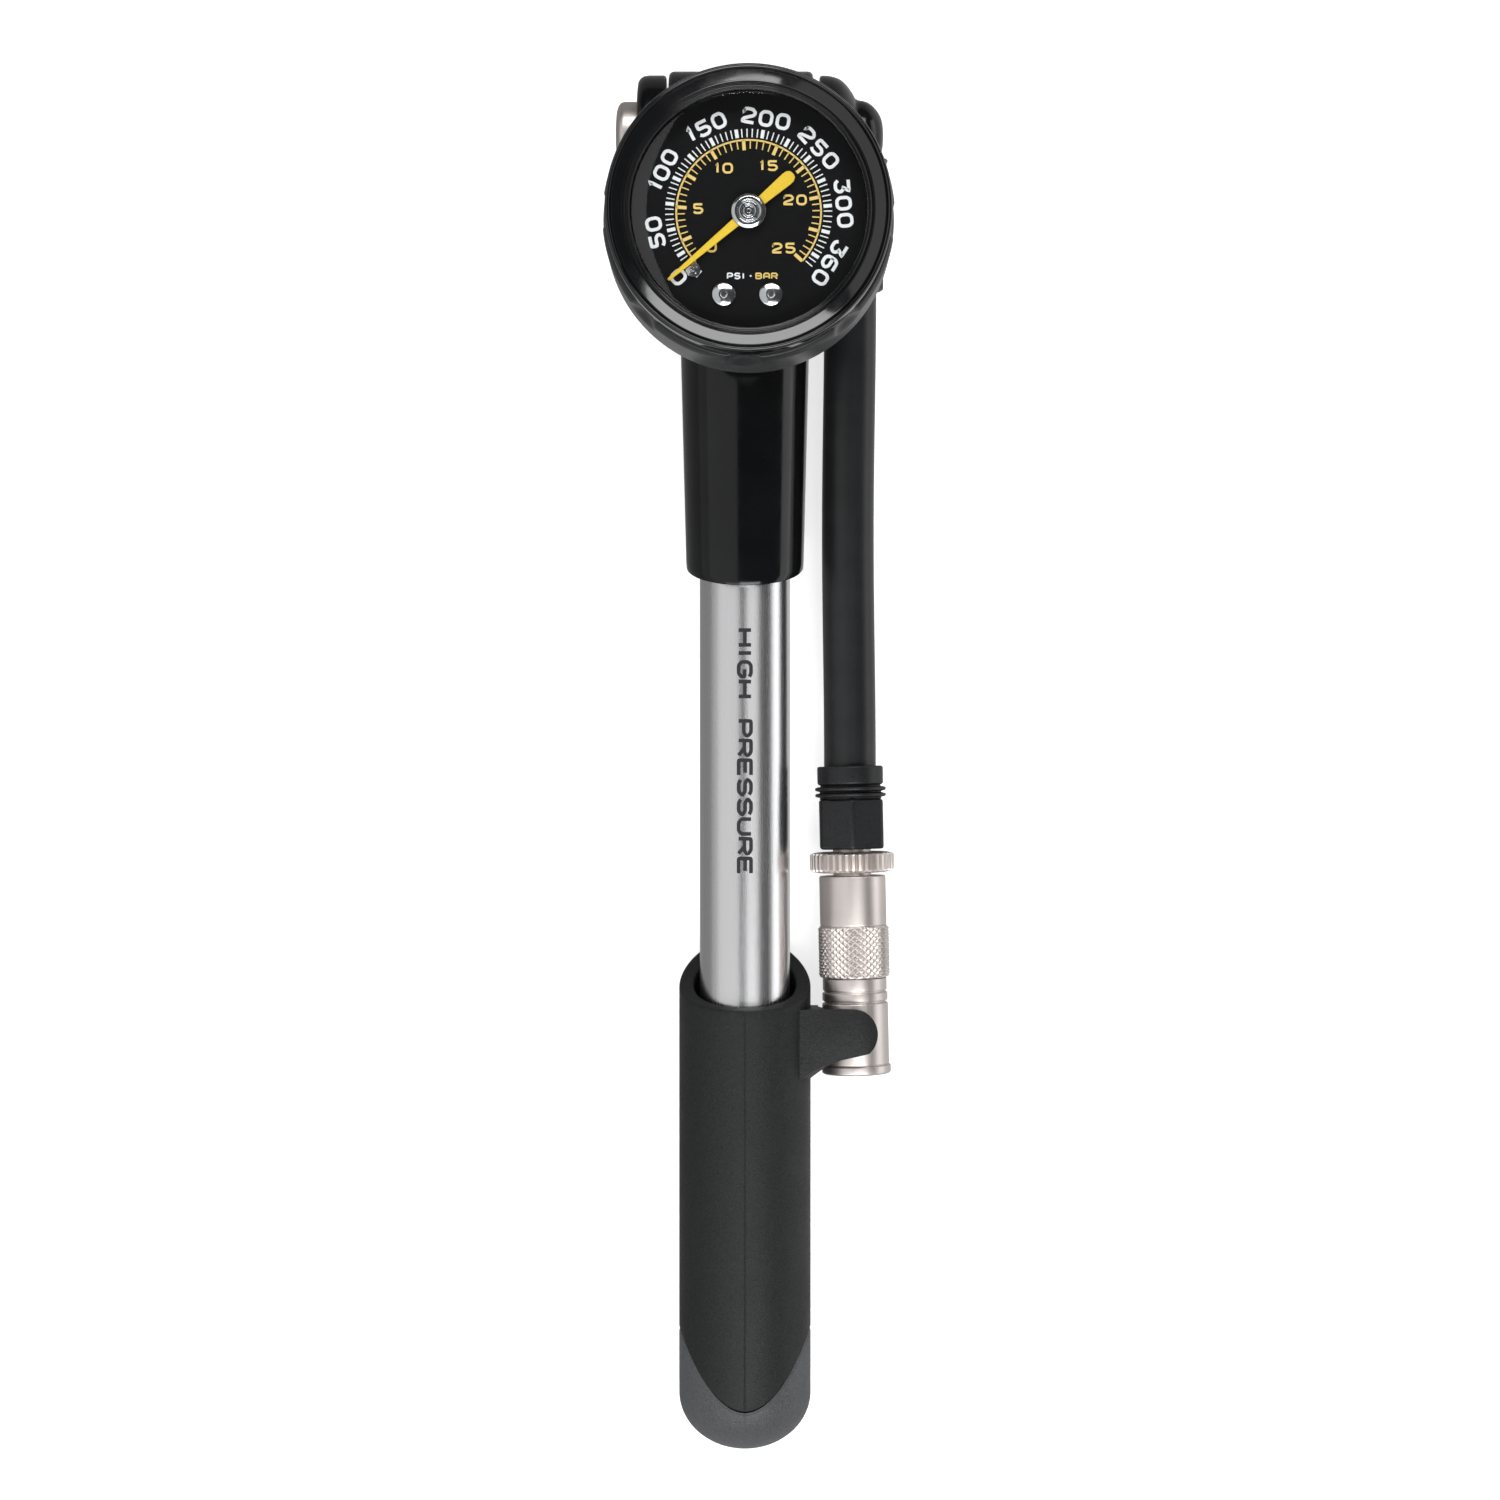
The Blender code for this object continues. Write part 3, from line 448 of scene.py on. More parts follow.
def make_stage():
    corners = [(side * FLOOR_REACH, along * FLOOR_REACH) for side, along in ((-1, -1), (1, -1), (1, 1), (-1, 1))]
    floor = prism("floor", corners, FLOOR_LOW, FLOOR_TOP, Matrix.Scale(MM, 4))
    looks = new_material("pale floor", (0.75, 0.75, 0.75), 0.9, Specular_IOR_Level=0.1)
    tint(looks, grain_node(looks, 60.0), (0.74, 0.74, 0.74), (0.76, 0.76, 0.76))
    shader = looks.node_tree.nodes["Principled BSDF"]
    shader.inputs["Emission Color"].default_value = (1, 1, 1, 1)
    shader.inputs["Emission Strength"].default_value = FLOOR_GLOW
    floor.data.materials.append(looks)
    floor.visible_glossy = False  # gloss sees the studio's surround in place of the floor


def make_lights():
    for name, side_lean, along_lean, distance, width, length, brightness in SOFT_BOXES:
        light = bpy.data.lights.new(name, "AREA")
        light.shape = "RECTANGLE"
        light.size = width
        light.size_y = length
        light.energy = brightness * math.pi * width * length
        lamp = bpy.data.objects.new(name, light)
        bpy.context.scene.collection.objects.link(lamp)
        lean = Matrix.Rotation(math.radians(side_lean), 4, "Y")
        lean = lean @ Matrix.Rotation(math.radians(along_lean), 4, "X")
        lamp.matrix_world = Matrix.Translation((0, 0, LIT_HEIGHT)) @ lean @ Matrix.Translation((0, 0, distance))
    make_surround()
    bpy.context.scene.view_settings.view_transform = "Standard"


def make_surround():
    """A dim studio, lighter below the horizon, most of all at the right and the foot."""
    world = bpy.data.worlds.new("studio")
    world.use_nodes = True
    tree = world.node_tree
    direction = tree.nodes.new("ShaderNodeTexCoord").outputs["Generated"]
    split, toward = tree.nodes.new("ShaderNodeSeparateXYZ"), tree.nodes.new("ShaderNodeVectorMath")
    toward.operation = "DOT_PRODUCT"
    toward.inputs[1].default_value = (1.0, -0.7, 0.0)
    tree.links.new(direction, split.inputs["Vector"])
    tree.links.new(direction, toward.inputs[0])
    below = ranged(tree, toward.outputs["Value"], -0.5, 0.5, SURROUND_LOW, SURROUND_HIGH)
    level = ranged(tree, split.outputs["Z"], -0.1, 0.0, 0.0, SKY)
    tree.links.new(below.outputs["Result"], level.inputs["To Min"])
    tree.nodes["Background"].inputs["Color"].default_value = (1, 1, 1, 1)
    tree.links.new(level.outputs["Result"], tree.nodes["Background"].inputs["Strength"])
    bpy.context.scene.world = world


def light_metal_only():
    """The box over the middle shines on the bright metal alone, as a card would keep it off the black."""
    metal = bpy.data.collections.new("lit_metal")
    for name in METAL_PIECES:
        metal.objects.link(bpy.data.objects[name])
    bpy.data.objects["metal_box"].light_linking.receiver_collection = metal


CAMERA_HEIGHT = 465.0  # above the barrel's axis
CAMERA_SIDE = 0.8
CAMERA_LENS = 70.8
CAMERA_SHIFT = 0.02


def make_camera():
    """Looks straight down on the dial, level with a point a little above mid length."""
    data = bpy.data.cameras.new("camera")
    data.lens = CAMERA_LENS
    data.sensor_width = 36.0
    data.shift_y = CAMERA_SHIFT
    data.clip_start = 0.01
    camera = bpy.data.objects.new("camera", data)
    camera.location = place(CAMERA_SIDE, 0, CAMERA_HEIGHT)
    bpy.context.scene.collection.objects.link(camera)
    bpy.context.scene.camera = camera


# ---- Barrel and sleeve ----
BARREL_R, BARREL_BORE_R, BARREL_FOOT = 7.1, 5.7, -90.0
WORDS_HEIGHT, WORDS_MIDDLE = 2.5, 4.4
SLEEVE_FOOT, SLEEVE_TOP, SLEEVE_SLOPE = 33.4, 71.8, 0.37
SLEEVE_R, SLEEVE_R_AT, SLEEVE_TAPER = 9.0, 24.0, 1.1 / 43.0  # its radius, where that is, and how it widens


def make_barrel():
    stations = [(BARREL_R, along) for along in np.linspace(BARREL_TOP - 0.6, BARREL_FOOT + 0.6, 40)]
    outline = [(BARREL_BORE_R, BARREL_TOP), (BARREL_R - 0.4, BARREL_TOP), *stations,
               (BARREL_R - 0.4, BARREL_FOOT), (BARREL_BORE_R, BARREL_FOOT)]
    turned("pump", "barrel", "barrel", "barrel_tube", outline, PUMP, 128)
    make_barrel_words()


def make_barrel_words():
    """Plain words along the tube, wrapped on its surface and read from the head's end."""
    strokes = word("HIGH PRESSURE", (0, 0), WORDS_HEIGHT, 0, width=0.92, gap=0.3, stroke=0.23)
    fine = [(resampled(line, 0.5), width) for line, width in strokes]
    words = stroke_mesh("barrel_words", fine, 0.0, 0.025, Matrix.Identity(4))
    for point in words.data.vertices:
        reading, across, proud = point.co
        turn = FRONT + across / BARREL_R
        radius = BARREL_R + 0.01 + proud
        point.co = (radius * math.cos(turn), radius * math.sin(turn), WORDS_MIDDLE - reading)
    words.data.transform(PUMP)
    fit_out(words, "pump", "grey_ink")


def resampled(line, longest):
    """A line of points with none further apart than a given length."""
    line = [Vector(point) for point in line]
    made = [line[0]]
    for start, stop in zip(line, line[1:]):
        steps = max(1, math.ceil((stop - start).length / longest))
        made += [start.lerp(stop, step / steps) for step in range(1, steps + 1)]
    return made


def slanted(slope, fixed_from, fades_by):
    """Shifts a piece's end rows so that they lie in a slanting plane, lower in front."""

    def shape(turn, radius, height):
        up = -radius * np.sin(turn)
        share = np.clip((height - fades_by) / (fixed_from - fades_by), 0, 1)
        return radius, height - slope * up * share

    return shape


def make_sleeve():
    wall = np.linspace(SLEEVE_FOOT + 1.2, 67.0, 24)
    outer = [(SLEEVE_R + (along - SLEEVE_R_AT) * SLEEVE_TAPER, along) for along in wall]
    outline = [(7.25, 68.0), (7.25, SLEEVE_FOOT + 0.4)]
    outline += [(7.4, SLEEVE_FOOT + 0.1), (7.7, SLEEVE_FOOT), (8.95, SLEEVE_FOOT), (9.12, SLEEVE_FOOT + 0.05),
                (9.2, SLEEVE_FOOT + 0.2)]
    outline += outer + [(10.1, 71.2), (10.0, 71.65), (9.7, SLEEVE_TOP), (8.7, SLEEVE_TOP), (8.7, 68.0)]
    foot = slanted(SLEEVE_SLOPE, SLEEVE_FOOT + 1.2, 60.0)
    turned("pump", "gloss", "sleeve", "sleeve_shell", outline, PUMP, 128, foot)


# ---- Head ----
CROSS_R, CROSS_RIGHT, CROSS_LEFT, CROSS_EDGE = 10.05, 10.7, -11.9, 0.9
NECK_R = 9.9


def make_head():
    """The cross tube, its neck, the gauge's boss and the pad that it lies on, with the bores cut."""
    cross = revolve(
        "head_shell",
        rounded([(0, CROSS_RIGHT), (CROSS_R, CROSS_RIGHT, CROSS_EDGE), (CROSS_R, CROSS_LEFT, CROSS_EDGE),
                 (0, CROSS_LEFT)]),
        CROSS, 128,
    )
    neck = revolve(
        "neck",
        rounded([(0, 101.0), (NECK_R, 101.0), (NECK_R, 71.9, 0.5), (8.5, 71.9), (8.5, 66.0), (0, 66.0)]),
        PUMP, 128,
    )
    boss = revolve(
        "boss",
        [(0, 5.0), (10.8, 5.0), (9.5, 7.6), (8.9, 8.7), (8.5, 9.9), (8.4, 11.6), (8.1, 12.1), (7.8, 12.2),
         (0, 12.2)],
        GAUGE, 128,
    )
    foot = prism("foot", [(-8.5, 95.6), (8.5, 95.6), (8.5, 107.1), (-8.5, 107.1)], -10.35, -6.0, FLAT)
    bevelled(foot, 0.7)
    for shape in (neck, boss, foot):
        combine(cross, shape, "UNION")
    bores = (
        revolve("socket", [(0, 99.0), (3.2, 99.0), (3.2, 78.2), (7.25, 78.2), (7.25, 60.0), (0, 60.0)], PUMP, 64),
        revolve("across", [(0, 12.0), (4.5, 12.0), (4.5, -13.0), (0, -13.0)], CROSS, 64),
        revolve("port", [(0, 3.4), (4.95, 3.4), (4.95, 13.0), (0, 13.0)], GAUGE, 64),
    )
    for shape in bores:
        combine(cross, shape, "DIFFERENCE")
    fit_out(cross, "pump", "gloss", "head_body")


def make_bleeder():
    turned(
        "pump", "gloss", "bleeder_cap", "bleeder_cap_shell",
        rounded([(1.8, -5.0), (4.4, -5.0, 0.3), (4.4, -12.3), (9.45, -12.3, 0.5), (9.45, -16.8, 1.8),
                 (5.65, -16.8, 0.35), (5.65, -14.7), (4.2, -14.7), (4.2, -13.2), (1.8, -13.2)]),
        CROSS, 128,
    )
    turned(
        "bleeder", "nickel", "bleeder_button", "bleeder_button_cap",
        rounded([(0, -16.5), (5.4, -16.5, 0.2), (5.4, -19.5, 0.9), (4.2, -20.1, 0.8), (2.2, -20.28, 1.0),
                 (0, -20.32)]),
        CROSS, 96,
    )


# ---- Gauge ----
BOOT_R, BEZEL_R, BEZEL_INNER_R = 21.8, 21.15, 17.45
SCALLOPS, SCALLOP_START, SCALLOP_HALF, SCALLOP_DEPTH = 8, 2.0, 7.0, 0.95
LENS_TOP, LENS_FLAT_R, LENS_CURVE = 32.05, 12.0, 0.0163
DIAL_TOP = 29.0


def notched(turn, radius, height):
    """The scallops in the boot's front rim."""
    apart = 360 / SCALLOPS
    away = (np.degrees(turn) + SCALLOP_START + apart / 2) % apart - apart / 2
    hollow = np.clip(1 - (np.abs(away) / SCALLOP_HALF) ** 2, 0, 1)
    reach = np.clip((height - 22.6) / 1.6, 0, 1)
    outside = np.clip((radius - 20.7) / 0.9, 0, 1)
    return radius - SCALLOP_DEPTH * hollow * reach * outside, height


def make_gauge_shell():
    turned(
        "pump", "boot", "gauge_boot", "gauge_boot_shell",
        rounded([(8.9, 12.5), (8.9, 13.4), (20.55, 13.4), (20.55, 27.4, 0.1), (21.3, 27.4, 0.3),
                 (BOOT_R, 26.3, 0.4), (BOOT_R, 24.2), (BOOT_R, 23.4), (BOOT_R, 22.6), (BOOT_R, 22.0),
                 (BOOT_R, 12.5, 2.6)], 5),
        GAUGE, 360, notched,
    )
    skirt = [(BEZEL_INNER_R, 31.75), (20.45, 31.75), (20.45, 27.7), (BEZEL_R - 0.25, 27.7, 0.2),
             (BEZEL_R - 0.25, 28.6, 0.1), (BEZEL_R, 28.8, 0.1)]
    lip = [(20.75 + 0.4 * math.cos(turn), 32.75 + 0.62 * math.sin(turn)) for turn in np.linspace(0, 2.6, 12)]
    funnel = [(20.3, 32.92, 0.05), (20.15, 33.2, 0.06), (20.0, 33.145), (19.9, 33.11), (18.85, 32.73),
              (18.75, 32.69), (18.6, 32.64, 0.06)]
    steps = [(18.5, 32.3, 0.05), (18.32, 32.3, 0.05), (18.25, 32.5, 0.08), (17.95, 32.46, 0.1),
             (17.85, 32.2, 0.06), (17.75, 32.2, 0.05), (17.62, 32.3, 0.1), (BEZEL_INNER_R, 32.1, 0.1)]
    turned("pump", "bezel", "gauge_bezel", "gauge_bezel_ring", rounded(skirt + lip + funnel + steps), GAUGE, 192)
    rim = [(0, 30.7), (20.3, 30.7), (20.3, 31.3), (17.9, 31.4)]
    crown = [(radius, LENS_TOP - LENS_CURVE * max(0.0, radius - LENS_FLAT_R) ** 2)
             for radius in (17.4, 17.0, 16.4, 15.8, 15.2, 14.6, 14, 13, 12, 8, 4)]
    turned("pump", "lens", "gauge_lens", "gauge_lens_pane", rim + crown + [(0, LENS_TOP)], GAUGE, 128)


def polar(radius, degrees):
    turn = math.radians(degrees)
    return Vector((radius * math.cos(turn), radius * math.sin(turn)))


def stroke_mesh(name, strokes, low, high, matrix):
    """Flat strokes, each (points, width), as thin solids with mitred corners."""
    points, faces = [], []
    for line, width in strokes:
        line = [Vector(point) for point in line]
        closed = (line[0] - line[-1]).length < 1e-6
        if closed:
            line = line[:-1]
        count = len(line)
        start = len(points)
        for number, spot in enumerate(line):
            if closed or 0 < number < count - 1:
                before = (spot - line[number - 1]).normalized()
                after = (line[(number + 1) % count] - spot).normalized()
            else:
                before = after = (line[min(number + 1, count - 1)] - line[max(number - 1, 0)]).normalized()
            normal = Vector((-before.y - after.y, before.x + after.x)).normalized()
            mitre = normal / max(0.5, normal.dot(Vector((-after.y, after.x))))
            for side, height in ((0.5, low), (-0.5, low), (-0.5, high), (0.5, high)):
                edge = spot + mitre * width * side
                points.append((edge.x, edge.y, height))
        for number in range(count if closed else count - 1):
            here = start + 4 * number
            there = start + 4 * ((number + 1) % count)
            faces += [(here + i, there + i, there + (i + 1) % 4, here + (i + 1) % 4) for i in range(4)]
        if not closed:
            end = start + 4 * (count - 1)
            faces += [tuple(start + i for i in range(4)), tuple(end + i for i in range(4))]
    return mesh_piece(name, points, faces, matrix, merge=1e-7)


INK_LOW, INK_HIGH = DIAL_TOP + 0.004, DIAL_TOP + 0.03
SWEEP_START = 230.3  # the angle of zero on both scales
PSI_STEP, BAR_STEP = 0.752, 10.9  # degrees for each psi, and each bar
PSI_MARKS = (11.1, 12.35)  # where the white marks start and stop, from the hub
BAR_LINE_R, BAR_MARK_R, BAR_STRONG_R = 10.7, 9.42, 9.2  # the yellow line, and the inner ends of its marks
THIN_MARK = 0.17
UNITS_ALONG, UNITS_HEIGHT = -9.4, 0.98


def print_strokes(name, strokes, looks):
    fit_out(stroke_mesh(name, strokes, INK_LOW, INK_HIGH, GAUGE), "pump", looks)


def glyph(letter):
    """Strokes of a wide, square character on a unit box, with corners clipped by c."""
    c = 0.22
    ring = [(c, 0), (1 - c, 0), (1, c), (1, 1 - c), (1 - c, 1), (c, 1), (0, 1 - c), (0, c), (c, 0)]
    bowl = [(c, 1), (0, 1 - c), (0, c), (c, 0), (1 - c, 0), (1, c)]
    shapes = {
        "0": [ring],
        "1": [[(0.12, 0.78), (0.34, 1), (0.34, 0)]],
        "2": [[(0, 0.82), (0, 1 - c), (c * 0.6, 1), (1 - c, 1), (1, 1 - c), (1, 0.66), (0.86, 0.52), (0.12, 0.26),
               (0, 0.14), (0, 0), (1, 0)]],
        "3": [[(0, 1), (1, 1), (0.62, 0.58), (0.8, 0.58), (1, 0.4), (1, c), (1 - c, 0), (c, 0), (0, c)]],
        "5": [[(1, 1), (0.06, 1), (0.06, 0.56), (1 - c, 0.56), (1, 0.38), (1, c), (1 - c, 0), (c, 0), (0, 0.14)]],
        "6": [[(1, 1), *bowl, (1, 0.38), (1 - c, 0.56), (0, 0.56)]],
        "P": [[(0, 0), (0, 1), (1 - c, 1), (1, 1 - c), (1, 0.6), (1 - c, 0.42), (0, 0.42)]],
        "S": [[(1, 0.84), (1 - c, 1), (c, 1), (0, 1 - c), (0, 0.68), (c, 0.52), (1 - c, 0.52), (1, 0.34), (1, c),
               (1 - c, 0), (c, 0), (0, 0.16)]],
        "I": [[(0.3, 0), (0.3, 1)]],
        "B": [[(0, 0), (0, 1), (1 - c, 1), (0.96, 1 - c), (0.96, 0.66), (0.84, 0.53), (0, 0.53)],
              [(0.84, 0.53), (1, 0.38), (1, c), (1 - c, 0), (0, 0)]],
        "H": [[(0, 0), (0, 1)], [(1, 0), (1, 1)], [(0, 0.5), (1, 0.5)]],
        "G": [[(1, 0.86), (1 - c, 1), *bowl, (1, 0.48), (0.5, 0.48)]],
        "E": [[(1, 1), (0, 1), (0, 0), (1, 0)], [(0, 0.52), (0.85, 0.52)]],
        "U": [[(0, 1), (0, c), (c, 0), (1 - c, 0), (1, c), (1, 1)]],
        " ": [],
        "A": [[(0, 0), (0, 1 - c), (c, 1), (1 - c, 1), (1, 1 - c), (1, 0)], [(0, 0.4), (1, 0.4)]],
        "R": [[(0, 0), (0, 1), (1 - c, 1), (1, 1 - c), (1, 0.62), (1 - c, 0.46), (0, 0.46)],
              [(0.5, 0.46), (1, 0)]],
    }
    return shapes[letter]


NARROW = {"1": 0.42, "I": 0.5}


def eased(line, corner):
    """A line with its corners turned into small curves."""
    closed = (Vector(line[0]) - Vector(line[-1])).length < 1e-6
    spots = line[:-1] if closed else line
    ends = () if closed else (0, len(spots) - 1)
    curve = rounded([(x, y, 0 if number in ends else corner) for number, (x, y) in enumerate(spots)], 2)
    return curve + curve[:1] if closed else curve


def word(text, centre, height, turn, width=0.8, gap=0.42, stroke=0.17):
    """The strokes of a word, centred on a point of the dial and turned by degrees."""
    widths = [width * height * NARROW.get(letter, 1.0) for letter in text]
    space = gap * height
    length = sum(widths) + space * (len(text) - 1)
    strokes = []
    reach = -length / 2
    thick = stroke * height
    for letter, wide in zip(text, widths):
        full = width * height * 0.75 if letter in NARROW else wide
        for line in glyph(letter):
            points = []
            for x, y in line:
                flat = Vector((reach + x * full, (y - 0.5) * (height - thick)))
                points.append(Vector(centre) + Matrix.Rotation(math.radians(turn), 2) @ flat)
            strokes.append((eased(points, height * 0.1), thick))
        reach += wide + space
    return strokes


def make_scales():
    white, yellow = [], []
    for mark in range(0, 361, 5):
        angle = SWEEP_START - mark * PSI_STEP
        thick = 0.52 if mark % 25 == 0 else THIN_MARK
        white.append(([polar(radius, angle) for radius in PSI_MARKS], thick))
    for mark in range(3, 51):
        angle = SWEEP_START - mark / 2 * BAR_STEP
        strong = mark % 5 == 0
        inner = BAR_STRONG_R if strong else BAR_MARK_R
        yellow.append(([polar(inner, angle), polar(BAR_LINE_R, angle)], 0.5 if strong else THIN_MARK))
    sweep = 25 * BAR_STEP - 7.2
    yellow.append(([polar(BAR_LINE_R, SWEEP_START - 7 - step * sweep / 120) for step in range(121)], 0.26))
    white_numbers = ((0, 222.6), (50, 192.2), (100, 153.6), (150, 116.4), (200, 79.5), (250, 42.5), (300, 5.5),
                     (360, -32.0))
    for number, angle in white_numbers:
        white += word(str(number), polar(14.1, angle), 2.45, angle - 90, width=0.68, gap=0.36, stroke=0.2)
    yellow_numbers = ((0, 7.5, 223.0), (5, 7.5, 175.8), (10, 7.5, 119.5), (15, 7.5, 67.0), (20, 7.1, 15.0),
                      (25, 7.4, -45.6))
    for number, away, angle in yellow_numbers:
        yellow += word(str(number), polar(away, angle), 1.6, 0, width=0.78, gap=0.42, stroke=0.2)
    white += word("PSI", (-1.85, UNITS_ALONG), UNITS_HEIGHT, 0, width=0.74, gap=0.36, stroke=0.22)
    white.append(([(0.18, UNITS_ALONG), (0.42, UNITS_ALONG)], 0.24))
    yellow += word("BAR", (2.65, UNITS_ALONG), UNITS_HEIGHT, 0, width=0.82, gap=0.36, stroke=0.22)
    print_strokes("scale_psi", white, "white_ink")
    print_strokes("scale_bar", yellow, "yellow_ink")


def make_dial():
    turned(
        "pump", "dial", "gauge_dial", "dial_plate",
        rounded([(1.1, DIAL_TOP), (19.2, DIAL_TOP, 0.1), (19.2, 28.5), (1.1, 28.5)]),
        GAUGE, 128,
    )
    make_scales()
    for name, node, side in (("rivet_left", "dial_screw_left", -3.7), ("rivet_right", "dial_screw_right", 3.3)):
        at = GAUGE @ Matrix.Translation((side, -12.2, 0))
        dome = [(0, 29.42), (0.14, 29.42), (0.22, 29.5), (0.3, 29.5), (0.44, 29.66), (0.52, 29.76)]
        dome += [(r, 29.84 - 0.13 * r * r) for r in (0.62, 0.8, 1.0, 1.2, 1.4, 1.55, 1.66)]
        dome += [(1.74, 29.4), (1.76, 29.3), (1.76, 29.05), (0.5, 29.05), (0.5, 25.4), (0, 25.4)]
        fit_out(revolve(name, dome, at, 48), "pump", "steel", node)

    def crossed(turn, radius, height):
        x, y = radius * np.cos(turn - 0.6), radius * np.sin(turn - 0.6)
        slot = ((np.abs(x) < 0.13) | (np.abs(y) < 0.13)) & (radius < 0.72) & (height > 29.2)
        return radius, np.where(slot, height - 0.22, height)

    head = [(r, 29.47 - 0.1 * r * r) for r in (0, 0.12, 0.24, 0.36, 0.48, 0.6, 0.72, 0.84, 0.95, 1.05)]
    turned(
        "pump", "steel", "stop_screw", "stop_screw_head",
        head + [(1.12, 29.25), (1.12, 29.05), (0.45, 29.05), (0.45, 27.6), (0, 27.6)],
        GAUGE @ Matrix.Translation((-8.2, -8.5, 0)), 64, crossed,
    )


NEEDLE_ANGLE = 220.4


def make_pointer():
    at = GAUGE @ Matrix.Rotation(math.radians(NEEDLE_ANGLE), 4, "Z")
    half = [(15.6, 0.16), (15.3, 0.24), (2.2, 0.68), (1.2, 1.5), (0, 1.9), (-1.2, 1.6), (-2.4, 0.7), (-7.3, 0.98),
            (-8.0, 0.92), (-8.45, 0.62), (-8.6, 0.25)]
    outline = half + [(x, -y) for x, y in reversed(half)]
    needle = prism("pointer_needle", outline, 29.62, 29.93, at)
    bevelled(needle, 0.08, 2)
    eye = revolve("eye", [(0, 28.0), (1.0, 28.0), (1.0, 31.0), (0, 31.0)], GAUGE, 32)
    combine(needle, eye, "DIFFERENCE")
    fit_out(needle, "pointer", "pointer", "gauge_pointer")
    turned(
        "pointer", "steel", "pointer_hub", "pointer_hub_cap",
        rounded([(0, 30.22), (0.22, 30.22), (0.32, 30.34, 0.05), (0.7, 30.36, 0.05), (0.78, 30.26, 0.04),
                 (0.95, 30.26, 0.04), (1.03, 30.38, 0.05), (1.35, 30.38, 0.05), (1.43, 30.28, 0.04),
                 (1.6, 30.28, 0.04), (1.68, 30.42, 0.06), (2.1, 30.46, 0.1), (2.6, 30.2, 0.2), (2.6, 29.98, 0.05),
                 (0.9, 29.98), (0.9, 29.6), (0, 29.6)], 3),
        GAUGE, 96,
    )


# ---- Swivel, hose and collars ----
def make_union():
    outline = rounded([(0, 11.7), (9.4, 11.7, 0.5), (9.42, 12.9, 0.8), (9.2, 14.1, 0.6), (8.75, 15.1, 0.6),
                       (7.95, 16.0, 0.6), (6.7, 16.9, 0.7), (5.85, 17.35, 0.4), (5.62, 17.9, 0.4),
                       (5.55, 18.6, 0.5), (5.3, 19.35, 0.5), (4.75, 20.15, 0.6), (3.7, 21.05, 0.7),
                       (2.65, 21.55, 0.6), (1.2, 21.77, 0.6), (0, 21.8)])
    union = revolve("hose_union_shell", outline, CROSS, 128)
    neck = revolve(
        "neck",
        [(0, 97.5), (5.9, 97.5), (5.3, 96.0), (4.9, 94.4), (4.8, 93.0), (4.8, 90.6), (2.1, 90.5), (2.1, 79.0),
         (0, 79.0)],
        OUTLET, 96,
    )
    combine(union, neck, "UNION")
    combine(union, revolve("seat", [(0, 11.0), (4.1, 11.0), (4.1, 20.0), (0, 20.0)], CROSS, 96), "DIFFERENCE")
    combine(union, revolve("passage", [(0, 78), (1.2, 78), (1.2, 101), (0, 101)], OUTLET, 32), "DIFFERENCE")
    fit_out(union, "hose_arm", "gloss", "hose_union")


HOSE_R, HOSE_BORE_R, HOSE_TOP, HOSE_FOOT, HOSE_BOW = 4.1, 2.25, 87.9, -6.0, 0.35
UPPER_MOUTH, LOWER_MOUTH = 77.2, 2.2
CHUCK_TOP = (16.9, -11.0, -1.9)
CHUCK_LEAN = math.radians(1.25)


def hose_offset(along):
    """How far the hose lies beside and above its upper collar's axis, as in the CAD."""
    share = min(max((UPPER_MOUTH - along) / (UPPER_MOUTH - LOWER_MOUTH), 0.0), 1.0)
    drift = share * share * (3 - 2 * share)
    bow = HOSE_BOW * math.sin(math.pi * share) ** 2
    beyond = max(0.0, LOWER_MOUTH - along) * math.tan(CHUCK_LEAN)
    side = (CHUCK_TOP[0] - HOSE_SIDE - 13 * math.tan(CHUCK_LEAN)) * drift - bow + beyond
    return side, CHUCK_TOP[2] * drift


def make_hose():
    stations = [HOSE_TOP + (HOSE_FOOT - HOSE_TOP) * step / 60 for step in range(61)]
    outline = [(HOSE_R, along) for along in stations] + [(HOSE_BORE_R, along) for along in reversed(stations)]
    hose = revolve("hose_tube", outline, Matrix.Identity(4), 64)
    for point in hose.data.vertices:
        side, up = hose_offset(point.co.z)
        point.co.x += side
        point.co.y -= up
    hose.data.transform(OUTLET)
    fit_out(hose, "hose_arm", "hose", "hose")


def make_collar(name, node, matrix, mouth, flange, foot, hole):
    """A crimped collar: flange, two ridges and a six-sided body with rounded corners."""
    way = 1 if foot > mouth else -1

    def at(distance):
        return flange + way * distance

    hexagon_from, hexagon_to = at(2.5), foot - way * 0.2
    outline = rounded(
        [(HOSE_R + 0.25, foot - way * 2.0), (HOSE_R + 0.25, mouth), (5.2, mouth, 0.35), (5.2, at(0), 0.3),
         (4.75, at(0.2), 0.15), (4.75, at(0.4), 0.15), (5.6, at(0.55), 0.25), (5.6, at(1.05), 0.25),
         (4.85, at(1.2), 0.12), (4.85, at(1.4), 0.12), (5.6, at(1.55), 0.25), (5.6, at(2.0), 0.25),
         (4.85, at(2.15), 0.12), (4.85, at(2.35), 0.12), (5.7, at(2.55), 0.35), (5.7, foot, 0.5), (hole, foot),
         (hole, foot - way * 2.0)], 4)

    def hexagonal(turn, radius, height):
        low, high = min(hexagon_from, hexagon_to), max(hexagon_from, hexagon_to)
        flat = 4.97 / np.cos((turn + math.pi / 6) % (math.pi / 3) - math.pi / 6)
        inside = (height > low - 0.3) & (height < high + 0.3) & (radius > 5.0)
        return np.where(inside, np.minimum(radius, np.minimum(flat, 5.62) * radius / 5.7), radius), height

    turned("hose_arm", "collar", node, name, outline, matrix, 144, hexagonal)


